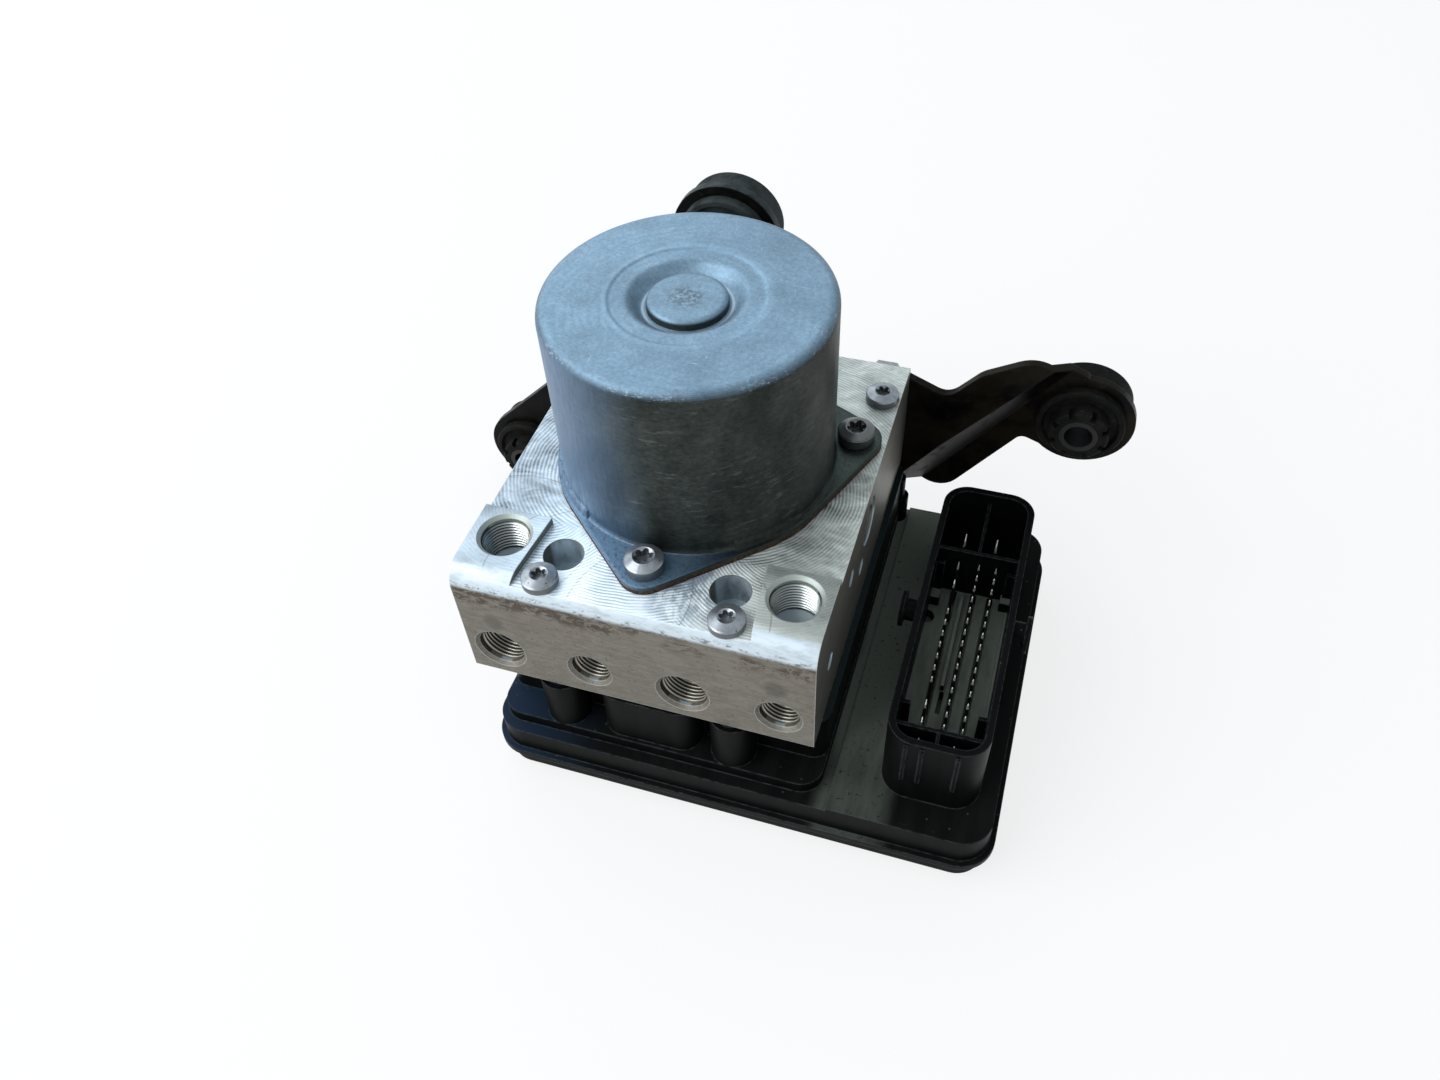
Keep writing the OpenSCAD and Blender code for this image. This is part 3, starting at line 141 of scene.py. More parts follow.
class Finish:
    """One procedural material. Its fields x, y and z are the place on the object in millimetres."""

    BEVEL_SAMPLES = 4

    def __init__(self, name):
        self.material = bpy.data.materials.new(name)
        self.material.use_nodes = True
        self.tree = self.material.node_tree
        self.tree.nodes.clear()
        self.place = self.node("TexCoord", {}, out="Object")
        self.x, self.y, self.z = self.parts(self.vector("SCALE", self.place, {"Scale": MM_PER_METRE}))
        self.nx, self.ny, self.nz = self.parts(self.node("NewGeometry", {}, out="Normal"))

    def node(self, kind, settings, *values, out=0):
        """Adds a node: its type, its settings, then the values or links of its sockets in order or by name."""
        made = self.tree.nodes.new("ShaderNode" + kind)
        for key, value in settings.items():
            setattr(made, key, value)
        pairs = []
        for count, value in enumerate(values):
            pairs += value.items() if isinstance(value, dict) else [(count, value)]
        for key, value in pairs:
            socket = made.inputs[key]
            if isinstance(value, Field):
                self.tree.links.new(value.socket, socket)
            elif socket.type == "RGBA":
                socket.default_value = (*value, 1)
            else:
                socket.default_value = value
        return Field(self, made.outputs[out])

    def parts(self, vector):
        made = self.node("SeparateXYZ", {}, vector).socket.node
        return [Field(self, socket) for socket in made.outputs]

    def vector(self, operation, *values):
        return self.node("VectorMath", {"operation": operation}, *values)

    def stretched(self, size):
        """Coordinates in which a grain of that size in millimetres, along X, Y and Z, is 1."""
        if not isinstance(size, tuple):
            size = (size,) * 3
        return self.vector("MULTIPLY", self.place, tuple(MM_PER_METRE / s for s in size))

    def noise(self, size, detail, rough=0.5, bend=0.0):
        return self.node("TexNoise", {}, {"Vector": self.stretched(size), "Scale": 1.0, "Detail": detail,
                                          "Roughness": rough, "Distortion": bend})

    def dots(self, size, share, density):
        """Small round specks: only some of the cells hold one."""
        cells = {"Vector": self.stretched(size), "Scale": 1.0}
        near_middle = self.node("TexVoronoi", {}, cells).below(share, share * 0.4)
        chosen = self.parts(self.node("TexVoronoi", {}, cells, out="Color"))[0].above(1 - density, 0.02)
        return near_middle * chosen

    def blend(self, first, second, mask):
        """Mixes two colours."""
        return self.node("Mix", {"data_type": "RGBA"}, {0: mask, 6: first, 7: second}, out=2)

    def tint(self, colour, by):
        """A colour made lighter or darker by a number that varies."""
        grey = self.node("CombineXYZ", {}, by, by, by)
        return self.vector("MULTIPLY", colour, grey)

    def reach(self, x, y):
        """Distance from an upright line, in millimetres."""
        return ((self.x - x) * (self.x - x) + (self.y - y) * (self.y - y)).root()

    def spot(self, x, y, radius, soft):
        """1 round an upright line, out to a soft edge at the radius."""
        return self.reach(x, y).below(radius, soft)

    def rings(self, x, y, pitch, wander):
        """Ripples round an upright line, as a cutter leaves them."""
        return ((self.reach(x, y) + wander) * (2 * pi / pitch)).sine()

    def streaks(self, x, y, count):
        """Painted glints: rays round an upright line, as light glances off turned marks."""
        return ((self.y - y).maths("ARCTAN2", self.x - x) * count + self.noise(10, 3) * 6).sine()

    def arc(self, x, y, radius, width):
        """A thin circle round an upright line."""
        return abs(self.reach(x, y) - radius).below(width, width * 0.6)

    def soft_edge(self, radius):
        """Normals that round off sharp edges over a radius in millimetres."""
        return self.node("Bevel", {"samples": self.BEVEL_SAMPLES}, {"Radius": radius * MM})

    def edge_mask(self, radius):
        """1 along sharp edges, where the rounded normal leaves the flat one."""
        rounded, flat = self.soft_edge(radius), self.node("NewGeometry", {}, out="True Normal")
        facing = self.node("VectorMath", {"operation": "DOT_PRODUCT"}, rounded, flat, out="Value")
        return (1 - facing).above(0.06, 0.05)

    def bump(self, height, depth, normal):
        """Relief from a height of 0 to 1 that is depth millimetres deep."""
        relief = {"Height": height, "Distance": depth * MM, "Strength": 1.0, "Normal": normal}
        return self.node("Bump", {}, relief)

    def shade(self, colour, roughness, metallic, normal, specular=0.5):
        self.close(self.node("BsdfPrincipled", {}, {
            "Base Color": colour, "Roughness": roughness, "Metallic": metallic, "Normal": normal,
            "Specular IOR Level": specular}))
        return self.material

    def close(self, shader):
        output = self.tree.nodes.new("ShaderNodeOutputMaterial")
        self.tree.links.new(shader.socket, output.inputs["Surface"])


def darker(colour, by):
    """A colour of fixed numbers, made darker or lighter."""
    return tuple(channel * by for channel in colour)


# Marks on the block's top, in millimetres. Ripples: centre and pitch. Single passes: centre, radius and width.
# Spots of painted light and painted shade: centre, radius and softness
LEFT_CUT, RIGHT_CUT = (-14, -8, 0.95), (14, -8, 0.85)
FRONT_LEFT_CUT, FRONT_CUT, FRONT_RIGHT_CUT = (-30, -26, 0.9), (-8, -12, 0.85), (29, -24, 0.8)
SINGLE_PASSES = ((9, -52, 24, 0.16), (-12, -48, 25, 0.14), (-36, -38, 20.5, 0.12))
CUT_CHANGE = -31            # the front's ripples lie before this y, the sides' behind it
FRONT_LIGHT, CAN_SHADE = (0, -45, 27, 15), (0, 0, 45, 8)
SMEARED_SHADE_SPOTS = ((9, -40, 12, 6), (14, -44, 12, 5))
ROUND_STAINS, ROUND_STAIN_Z = (-35.8, 35.2), 58.7

# The first colour carries a painted bluish sky reflection for the left of the milled top; MILLED_WARM is its
# greyer right
MILLED_SKY_TINTED, MILLED_WARM, SMEARED_SHADE_BLUE = (0.67, 0.79, 0.88), (0.70, 0.75, 0.70), (0.22, 0.28, 0.38)
SKIN_PALE, SKIN_DEEP, SKIN_BROWN = (0.210, 0.194, 0.160), (0.168, 0.153, 0.125), (0.070, 0.050, 0.034)
SKIN_SPECK, SKIN_STAIN = (0.06, 0.055, 0.045), (0.075, 0.07, 0.06)
SKIN_EDGE_HIGHLIGHT, SKIN_EDGE_SPECK = (0.62, 0.70, 0.75), (0.10, 0.10, 0.10)
SIDE_PALE, SIDE_DEEP = (0.215, 0.208, 0.178), (0.160, 0.153, 0.128)
DRILLED_PALE, DRILLED_DEEP = (0.60, 0.69, 0.75), (0.34, 0.39, 0.42)
BORE_RIM, BORE_FLOOR_REFLECTION = (0.46, 0.50, 0.46), (0.50, 0.58, 0.62)
RUBBED_ALUMINIUM = (0.80, 0.83, 0.84)


def cutter_ripple(f):
    """Ripples that the cutters left: one family down each side, three along the front."""
    wander = f.noise(9, 2) * 1.4
    in_front = f.y.below(CUT_CHANGE, 2)
    left, right = f.x.below(-13, 1), f.x.above(12, 2)
    front = (left * f.rings(*FRONT_LEFT_CUT, wander) + right * f.rings(*FRONT_RIGHT_CUT, wander)
             + (1 - left) * (1 - right) * f.rings(*FRONT_CUT, wander))
    behind = f.x.below(0, 1) * f.rings(*LEFT_CUT, wander) + f.x.above(0, 1) * f.rings(*RIGHT_CUT, wander)
    clear = 0.4 + 0.8 * f.noise(11, 2).above(0.45, 0.14)
    return (front * in_front + (1 - in_front) * behind) * clear * (1 - 0.75 * f.z.above(TOP + 1, 0.3))


def milled_top(f, ripple, passes):
    """Painted light and shade: a bluish painted sky reflection on the left, greyer on the right, a painted pool
    of light at the front, painted shade on the left strip and near the can, painted glints, and bluish painted
    shade in smears at the front right.
    """
    # runs from the painted bluish sky reflection on the left to the greyer right, and darkens the right pad
    # most
    warm = f.x.above(12, 22)
    # a painted pool of light at the front
    lit = f.spot(*FRONT_LIGHT)
    # painted shade on the left strip, behind the front
    shaded = f.x.below(-30, 8) * f.y.above(-34, 6)
    # painted shade by the can, at its front right
    shade_by_can = f.spot(*CAN_SHADE) * f.x.above(4, 8) * f.y.below(6, 12)
    pad = f.z.above(TOP + 1, 0.3)
    patchy = (f.noise((8, 4, 8), 4, 0.7, 0.8) - 0.5) * (1 - 0.6 * pad)
    in_front = f.y.below(CUT_CHANGE, 2)
    # painted glints, in fans round the cutter centres
    front_glint, side_glint = f.streaks(*FRONT_CUT[:2], 11), f.streaks(*RIGHT_CUT[:2], 9)
    painted_glint = in_front * front_glint + (1 - in_front) * f.x.above(0, 1) * side_glint
    # Painted light and shade set the level: the pool of light, shade on the left strip and near the can, and
    # glints; the pads are darker, the right one most
    level = (0.88 + 0.12 * painted_glint + 0.68 * lit - 0.28 * shaded - (0.18 + 0.14 * warm) * pad
             + 0.34 * ripple * (0.5 + lit) + 1.45 * patchy - 0.34 * shade_by_can)
    colour = f.tint(f.blend(MILLED_SKY_TINTED, MILLED_WARM, warm), level)
    # bluish painted shade and reflection, in smears, at the front right
    smeared_shade = f.spot(*SMEARED_SHADE_SPOTS[0]) * f.spot(*SMEARED_SHADE_SPOTS[1]) * f.noise((3, 6, 3), 4, 0.7).above(0.47, 0.1)
    colour = f.blend(colour, SMEARED_SHADE_BLUE, smeared_shade * 0.75)
    return f.tint(colour, 1 - 0.35 * (passes + f.dots(1.0, 0.16, 0.16)).capped())


def extruded_skin(f):
    """Brown grey skin of the extrusion, with darker stains under a painted highlight on its rounded edge."""
    colour = f.blend(SKIN_PALE, SKIN_DEEP, f.noise((5, 1.6, 0.7), 5, 0.75).above(0.5, 0.13))
    brown = f.noise((3.0, 1.6, 1.7), 5, 0.74, 0.8).above(0.49, 0.05) * f.noise((13, 8, 7), 2).above(0.41, 0.1)
    upper = f.z.within(TOP - 8, TOP - 2.0, 1.2)
    colour = f.blend(colour, SKIN_BROWN, brown * (0.22 + 0.72 * upper))
    colour = f.blend(colour, SKIN_SPECK, f.dots(1.3, 0.2, 0.35) * 0.6)
    for x in ROUND_STAINS:
        across, rise = f.x - x, f.z - ROUND_STAIN_Z
        stain = (across * across + rise * rise).root().below(2.6, 1.1)
        colour = f.blend(colour, SKIN_STAIN, stain * 0.55)
    # a painted highlight along the skin's rounded top edge
    edge = f.z.above(TOP - 3.0, 0.7)
    edge = edge * (0.75 + 0.25 * f.noise((5, 2, 1.2), 4, 0.7).above(0.45, 0.12))
    colour = f.blend(colour, SKIN_EDGE_HIGHLIGHT, edge)
    specks = f.noise((1.8, 1.0, 0.9), 5, 0.74).above(0.56, 0.04) * f.z.within(TOP - 3.8, TOP - 1.6, 0.6)
    return f.blend(colour, SKIN_EDGE_SPECK, specks * 0.75)


def drilled_walls(f, hole):
    """Walls of the ports and step bores, painted lighter on the left and darker on the right, with a bluish
    painted reflection on their floors.
    """
    colour = f.blend(DRILLED_PALE, DRILLED_DEEP, f.noise((4, 4, 9), 3).above(0.5, 0.12))
    # painted light on the holes on the left and painted shade on those on the right
    colour = f.tint(colour, 1.35 - 0.3 * f.x.above(0, 2))
    colour = f.blend(colour, BORE_RIM, f.z.above(TOP - 0.4, 0.1) * hole)
    # a bluish painted reflection on the floors of the bores
    return f.blend(colour, BORE_FLOOR_REFLECTION, f.nz.above(0.6, 0.1) * f.z.below(TOP - 3, 0.5))


def milled_block():
    """Extruded aluminium with a face milled top, drilled ports, a stained skin and handling marks."""
    f = Finish("milled_block")
    up = f.nz.above(0.93, 0.03) * f.z.above(TOP - 0.6, 0.1)
    side = abs(f.nx).above(0.9, 0.05)
    rear = f.ny.above(0.9, 0.05) * f.y.above(40, 0.5)
    front = (1 - up) * (1 - side) * f.y.below(FRONT + 6.5, 0.5) * (1 - f.nz.above(0.97, 0.02))
    skin = (front + rear).capped()
    hole = (1 - up) * (1 - side) * (1 - skin)
    ripple = cutter_ripple(f)
    passes = sum(f.arc(*single) for single in SINGLE_PASSES)
    fine = f.noise(0.5, 3, 0.6)
    drawn = f.noise((18, 0.5, 0.45), 3)
    turned = (f.z * 7 + f.y * 7).sine()
    pits = f.noise(1.1, 4, 0.65)
    height = (up * (ripple * 0.85 + fine * 0.6 - passes * 0.4) + skin * (drawn * 0.7 + pits * 0.8)
              + side * (drawn * 0.5 + fine * 0.4) + hole * turned * 0.2)
    colour = f.blend(drilled_walls(f, hole), milled_top(f, ripple, passes), up)
    colour = f.blend(colour, f.blend(SIDE_PALE, SIDE_DEEP, f.noise((3, 9, 0.8), 5, 0.7).above(0.5, 0.15)), side)
    colour = f.blend(colour, extruded_skin(f), skin)
    rubbed = f.edge_mask(0.35) * (1 - hole)
    colour = f.blend(colour, RUBBED_ALUMINIUM, rubbed * 0.6)
    roughness = 0.40 + up * 0.06 + skin * 0.10 + hole * 0.12 + f.noise(6, 3) * 0.10
    metallic = 0.80 - up * 0.28 - skin * 0.25
    return f.shade(colour, roughness, metallic, f.bump(height, 0.026, f.soft_edge(0.3)))


DRAWN_RINGS = (3, -5, 2.1)  # centre and pitch of the faint rings in the can's top, in millimetres
# The zinc as lit on the can's top; the wall colours on the next line are a copy painted far darker, as shade on
# its walls
ZINC_PALE, ZINC_DEEP = (0.228, 0.342, 0.445), (0.186, 0.286, 0.372)
WALL_SHADED_GREY, WALL_SHADED_DARK, WALL_SCUFF = (0.042, 0.049, 0.043), (0.022, 0.028, 0.025), (0.13, 0.14, 0.135)
# painted light: the cool light on the left flank and foot of the can
FLANK_PAINTED_LIGHT, FOOT_PAINTED_LIGHT = (0.175, 0.275, 0.42), (0.30, 0.40, 0.52)
# the flange's upper face: painted sky reflection, painted shade and painted light
LEDGE_SKY_REFLECTION, LEDGE_SHADE, LEDGE_LIT_GREEN = (0.170, 0.275, 0.390), (0.012, 0.016, 0.013), (0.062, 0.080, 0.073)
ZINC_SCRATCH, SEAT_RING, SEAT_WORN = (0.46, 0.56, 0.64), (0.50, 0.60, 0.68), (0.085, 0.10, 0.105)
RUST_DARK, RUST_BROWN, FLANGE_STAIN = (0.030, 0.018, 0.012), (0.105, 0.055, 0.030), (0.055, 0.042, 0.032)


def can_top(f, radius, cloud, frost):
    """Frosted zinc with faint rings from drawing, in its lit colour, and painted shade on the shoulder."""
    colour = f.blend(ZINC_PALE, ZINC_DEEP, cloud.above(0.5, 0.18))
    drawn = f.rings(*DRAWN_RINGS, f.noise(14, 2) * 4) * f.noise(9, 2).above(0.5, 0.12)
    mottled = 0.05 * drawn + 1.1 * frost + 0.5 * (f.noise(9, 4, 0.6) - 0.5)
    colour = f.tint(colour, 1 + mottled + 0.14 * f.arc(0, 0, PRESSED_RING, 1.1))
    # painted shade where the shoulder rounds off
    return f.tint(colour, 1 - 0.45 * f.nz.below(0.78, 0.2) * radius.above(SHOULDER, 1))


def can_wall(f):
    """Sides painted dark as shade, with scuffs from handling, and painted light in strokes on the left flank
    and foot.
    """
    colour = f.blend(WALL_SHADED_GREY, WALL_SHADED_DARK, f.noise((9, 9, 15), 4, 0.6).above(0.5, 0.2))
    grain = 2.4 * (f.noise((1.6, 1.6, 0.8), 5, 0.78) - 0.5) + 1.2 * (f.noise((7, 7, 12), 3) - 0.5)
    colour = f.tint(colour, 1 + grain)
    scuffed = f.noise((5, 5, 1.1), 5, 0.75).above(0.60, 0.05) * f.noise(15, 2).above(0.5, 0.1)
    colour = f.blend(colour, WALL_SCUFF, scuffed * 0.5)
    # painted light on the left flank, in strokes
    flank = (f.x * 0.72 + f.y * 0.42).below(-22, 9)
    strokes = f.noise((0.9, 0.9, 5), 5, 0.7).above(0.50, 0.16)
    colour = f.blend(colour, FLANK_PAINTED_LIGHT, flank * (0.62 + 0.22 * strokes))
    # painted light on the front left of the foot
    foot = f.z.below(FLANGE + 9, 5) * (f.x * 0.80 + f.y * 0.60).below(-31.5, 2.2)
    return f.blend(colour, FOOT_PAINTED_LIGHT, foot * strokes * 0.6)


def can_ledge(f, right, frost):
    """Upper face of the flange: a blue painted sky reflection on the left, painted shade at the front right and
    painted light, green grey, at the right ear.
    """
    colour = f.blend(LEDGE_SKY_REFLECTION, LEDGE_SHADE, right)
    colour = f.blend(colour, LEDGE_LIT_GREEN, f.x.above(27, 6) * f.y.above(-24, 8))
    return f.tint(colour, 1 + 1.3 * frost)


def zinc_can():
    """Drawn sheet with a dull zinc coat: rubbed edge, worn seat, rust on the cut edge of the flange."""
    f = Finish("zinc_can")
    up = f.nz.above(0.75, 0.2)
    radius = f.reach(0, 0)
    cloud = f.noise(16, 4, 0.6)
    frost = f.noise(0.75, 5, 0.75) - 0.5
    right = f.x.above(12, 13)
    ledge = up * f.z.below(FLANGE + 0.5, 0.2)
    crown = f.nz.above(0.43, 0.28) * f.z.above(CAN_TOP - 12, 2)
    # the top takes the lit copy of the zinc and the walls the darker copy: painted light and shade
    colour = f.blend(can_wall(f), can_top(f, radius, cloud, frost), crown)
    colour = f.blend(colour, can_ledge(f, right, frost), ledge)
    # Wear: light scratches and flecks on the top, a rubbed front edge, a dark patch on the bearing seat
    along_x = f.noise((7, 0.3, 9), 3, 0.7, 1.5).above(0.665, 0.02)
    along_y = f.noise((0.35, 6, 9), 3, 0.7, 1.5).above(0.675, 0.02)
    scratched = ((along_x + along_y) * 0.75 + f.dots((1.6, 0.7, 1.0), 0.14, 0.08) * 0.5) * up
    rim = f.nz.within(0.30, 0.85, 0.15) * radius.above(SHOULDER + 0.5, 1) * f.z.above(CAN_TOP - 6, 0.5)
    rubbed = rim * f.noise((1.3, 1.3, 0.5), 5, 0.75).above(0.58, 0.05) * f.noise(12, 2).above(0.42, 0.1)
    light = scratched * f.z.above(CAN_TOP - 12, 1) + rubbed * 0.45
    colour = f.blend(colour, ZINC_SCRATCH, light.capped())
    colour = f.blend(colour, SEAT_RING, f.arc(0, 0, SEAT, 0.28) * f.nz.above(0.6, 0.2) * crown * 0.7)
    worn = radius.below(4.0, 2.5) * f.noise(1.1, 4, 0.8).above(0.49, 0.06) * up
    colour = f.blend(colour, SEAT_WORN, worn * 0.75)
    cut = f.z.below(FLANGE - 0.9, 0.25) * abs(f.nz).below(0.5, 0.2)
    colour = f.blend(colour, f.blend(RUST_DARK, RUST_BROWN, f.noise(0.9, 4, 0.7).above(0.55, 0.15)), cut)
    stain = f.noise(1.0, 4, 0.7).above(0.60, 0.05) * f.z.below(FLANGE + 2.5, 1.5)
    colour = f.blend(colour, FLANGE_STAIN, stain * 0.55)
    normal = f.bump(f.noise(0.6, 3, 0.6) * 0.45 + cloud * 0.4, 0.03, f.soft_edge(1.1))
    roughness = 0.40 + 0.12 * f.noise(5, 3) + cut * 0.35
    metallic = 0.62 - cut * 0.5 + ledge * right * 0.38
    return f.shade(colour, roughness, metallic, normal, specular=0.2)


SCREW_PALE, SCREW_DEEP, SCREW_DARKER = (0.42, 0.45, 0.48), (0.30, 0.32, 0.34), (0.125, 0.120, 0.105)
SCREW_REACH = 7             # a little more than the radius of a head, in millimetres
SCREW_SHADE, SCREW_SPECK, SCREW_EDGE_HIGHLIGHT = (0.10, 0.105, 0.105), (0.045, 0.04, 0.035), (0.66, 0.71, 0.76)


def zinc_screw():
    """Zinc plated heads with painted shade on their sides and in their recesses, and painted highlights on
    their edges.
    """
    f = Finish("zinc_screw")
    colour = f.blend(SCREW_PALE, SCREW_DEEP, f.noise(1.6, 3).above(0.5, 0.2))
    # The screw in the right ear is painted darker, most of all on its sides
    dull = f.spot(*RIGHT_EAR, SCREW_REACH, 0.5)
    colour = f.blend(colour, SCREW_DARKER, dull * (0.6 + 0.4 * f.nz.below(0.8, 0.2)))
    # painted shade on the sides and in the recesses
    colour = f.blend(colour, SCREW_SHADE, f.nz.below(0.35, 0.15) * 0.85)
    colour = f.blend(colour, SCREW_SPECK, f.dots(1.0, 0.20, 0.16) * 0.8)
    # painted highlights along the edges
    colour = f.blend(colour, SCREW_EDGE_HIGHLIGHT, f.edge_mask(0.2) * 0.5)
    normal = f.bump(f.noise(0.5, 3), 0.008, f.soft_edge(0.2))
    return f.shade(colour, 0.26 + 0.12 * f.noise(0.8, 2), 0.8, normal)


def cut_thread(name, radius, upright, crest, root):
    """Threads cut in the ports: lighter crests, roots painted dark as shade, and on the upright ports painted
    shade on the left wall.
    """
    f = Finish(name)
    across = (f.x + 2 * PORT_PITCH).maths("MODULO", PORT_PITCH) - PORT_PITCH / 2
    rise = f.y - TOP_PORT_Y if upright else f.z - PORT_Z
    high = (radius - (across * across + rise * rise).root()) / THREAD_DEPTH
    # the roots are painted dark, as shade
    colour = f.blend(root, crest, high.above(0.55, 0.3))
    colour = f.tint(colour, 0.8 + 0.4 * f.noise(2.5, 3))
    if upright:
        # painted shade on the left wall of the upright ports
        colour = f.tint(colour, 1 - 0.6 * across.below(-1.5, 3.0))
    return f.shade(colour, 0.24 + 0.1 * f.noise(1.5, 2), 0.9, f.soft_edge(0.06))


def plain_steel(name, colour, roughness):
    """Ground or drawn metal with a light cloud and a fine grain."""
    f = Finish(name)
    shade = f.blend(colour, darker(colour, 0.75), f.noise(3, 3).above(0.5, 0.2))
    normal = f.bump(f.noise((0.3, 0.3, 2.5), 2), 0.015, f.soft_edge(0.2))
    return f.shade(shade, roughness + 0.1 * f.noise(1, 2), 0.95, normal)


HOUSING_BLACK, COVER_BLACK = (0.0026, 0.0027, 0.0026), (0.006, 0.0063, 0.006)
DUST_AND_LIGHT, SKY_REFLECTION_TINT, DRIP = (0.150, 0.168, 0.140), (0.014, 0.028, 0.052), (0.006, 0.006, 0.0055)
DUST_SPECK, WORN_AND_LIT_PLASTIC, SCRATCHED_PLASTIC = (0.10, 0.10, 0.09), (0.075, 0.090, 0.100), (0.05, 0.055, 0.052)


def moulded_housing(name, base, roughness):
    """Satin glass filled plastic: fine grain, flow streaks, dust and painted light on what faces up, a painted
    sky reflection on the left, and rubbed edges with a painted highlight.
    """
    f = Finish(name)
    up = f.nz.above(0.8, 0.15)
    flow = f.noise((5, 26, 22), 4, 0.6)
    colour = f.blend(base, darker(base, 1.6), flow.above(0.52, 0.14))
    # Dust and painted light lie between the block and the plug socket and on the socket's floor, lighter where
    # the block and the socket's walls cast shade
    beside = f.x.within(PLATE_LEFT, PLATE_RIGHT, 2.5) * up * f.z.below(PLATE + 1, 0.5)
    inside = f.x.within(SOCKET_LEFT, SOCKET_RIGHT, 0.5) * f.y.within(SOCKET_FRONT, SOCKET_REAR, 0.5) * up
    low = f.z.below(PLATE + 12, 1)
    dust = (0.02 + beside * (0.38 + 1.25 * f.y.above(-36, 12)) + 1.15 * inside) * low * up
    dust = (dust * (0.6 + 0.4 * flow.above(0.48, 0.16))).capped()
    colour = f.blend(colour, DUST_AND_LIGHT, dust)
    # a painted reflection of the sky on the upward faces at the left
    colour = f.blend(colour, SKY_REFLECTION_TINT, f.x.below(-22, 14) * up * low * 0.8)
    drips = f.noise((1.6, 1.1, 9), 3, 0.6, 0.6).above(0.655, 0.02) * beside
    colour = f.blend(colour, DRIP, drips * 0.8)
    colour = f.blend(colour, DUST_SPECK, f.dots(1.9, 0.12, 0.25) * up * 0.5)
    # rubbed edges with a painted highlight
    worn = f.edge_mask(0.5) * f.noise(1.6, 4, 0.7).above(0.46, 0.12)
    colour = f.blend(colour, WORN_AND_LIT_PLASTIC, worn * 0.65)
    scratches = f.noise((14, 0.3, 14), 3, 0.7, 2.0).above(0.71, 0.015) * up
    colour = f.blend(colour, SCRATCHED_PLASTIC, scratches * 0.6)
    normal = f.bump(f.noise(0.4, 3, 0.6), 0.025, f.soft_edge(0.55))
    return f.shade(colour, roughness + 0.14 * f.noise(8, 4) + 0.16 * dust, 0.0, normal, specular=0.05)


SHEET_BLACK, SHEET_WARM, SHEET_DUST = (0.0015, 0.0016, 0.0015), (0.0045, 0.0042, 0.0036), (0.028, 0.026, 0.022)
SHEET_SKY_SHEEN, SHEET_BROWN_REFLECTION, SHEET_CHIP = (0.050, 0.062, 0.064), (0.020, 0.015, 0.008), (0.10, 0.075, 0.055)


def gloss_black_sheet():
    """Black coated bracket: glossy, with fine dimples, dust, a painted sky sheen up high, a painted brown
    reflection on the right arm and a few chips on its cut edges.
    """
    f = Finish("gloss_black_sheet")
    colour = f.blend(SHEET_BLACK, SHEET_WARM, f.noise(9, 4).above(0.5, 0.15))
    dust = f.noise(3, 5, 0.75).above(0.60, 0.06)
    colour = f.blend(colour, SHEET_DUST, dust * 0.25)
    # a painted sheen of the sky on high faces that turn up
    high = f.z.above(CAN_TOP - 26, 3) * f.nz.above(0.15, 0.2)
    colour = f.blend(colour, SHEET_SKY_SHEEN, high * f.noise(5, 4, 0.7).above(0.42, 0.2) * 0.8)
    # The right arm has a painted brown reflection, where its facets turn to the front
    facing = (f.nz - f.ny).above(0.5, 0.3) * f.x.above(40, 10) * f.noise((14, 14, 9), 3).above(0.46, 0.1)
    colour = f.blend(colour, SHEET_BROWN_REFLECTION, facing * 0.5)
    chips = f.edge_mask(0.5) * f.noise(1.1, 4, 0.75).above(0.62, 0.04)
    colour = f.blend(colour, SHEET_CHIP, chips * 0.6)
    normal = f.bump(f.noise(2.4, 2), 0.04, f.soft_edge(0.6))
    return f.shade(colour, 0.26 + 0.14 * f.noise(6, 4) + 0.2 * dust, 0.0, normal, specular=0.06)


RUBBER_BLACK, RUBBER_GREY = (0.0045, 0.0048, 0.004), (0.010, 0.0105, 0.0085)
RUBBER_SKY_SHEEN, RUBBER_DUST = (0.045, 0.056, 0.058), (0.045, 0.043, 0.036)


def black_rubber():
    """Matt rubber with dust in its grain, and a painted sheen where the top bush faces the sky."""
    f = Finish("black_rubber")
    colour = f.blend(RUBBER_BLACK, RUBBER_GREY, f.noise(4, 4, 0.7).above(0.5, 0.15))
    # a painted sheen on the high bush
    high = f.z.above(CAN_TOP - 30, 4) * f.noise(5, 4, 0.7).above(0.42, 0.2)
    colour = f.blend(colour, RUBBER_SKY_SHEEN, high * 0.8)
    colour = f.blend(colour, RUBBER_DUST, f.noise(1.4, 5, 0.75).above(0.64, 0.05) * 0.45)
    normal = f.bump(f.noise(0.6, 3), 0.035, f.soft_edge(0.4))
    return f.shade(colour, 0.58 + 0.2 * f.noise(3, 3), 0.0, normal, specular=0.08)


SHADED_TIN, BRIGHT_TIN = (0.045, 0.045, 0.038), (0.95, 0.94, 0.88)


def tinned_contact():
    """Tinned pins, bright at their tips and painted dark below them, as shade in the socket."""
    f = Finish("tinned_contact")
    # below the tips the pins are painted dark, as shade in the socket
    tip = f.z.above(PIN_TOP - 1.5, 0.35)
    normal = f.bump(f.noise(0.4, 2), 0.01, f.soft_edge(0.1))
    return f.shade(f.blend(SHADED_TIN, BRIGHT_TIN, tip), 0.30 - 0.08 * tip, 0.9 - 0.35 * tip, normal)


def plain_plastic(name, colour, roughness, specular=0.4):
    """Moulded or pressed material with a light cloud and a fine grain."""
    f = Finish(name)
    shade = f.blend(colour, darker(colour, 0.7), f.noise(5, 3).above(0.5, 0.2))
    normal = f.bump(f.noise(0.5, 2), 0.03, f.soft_edge(0.3))
    return f.shade(shade, roughness + 0.1 * f.noise(2, 2), 0.0, normal, specular=specular)


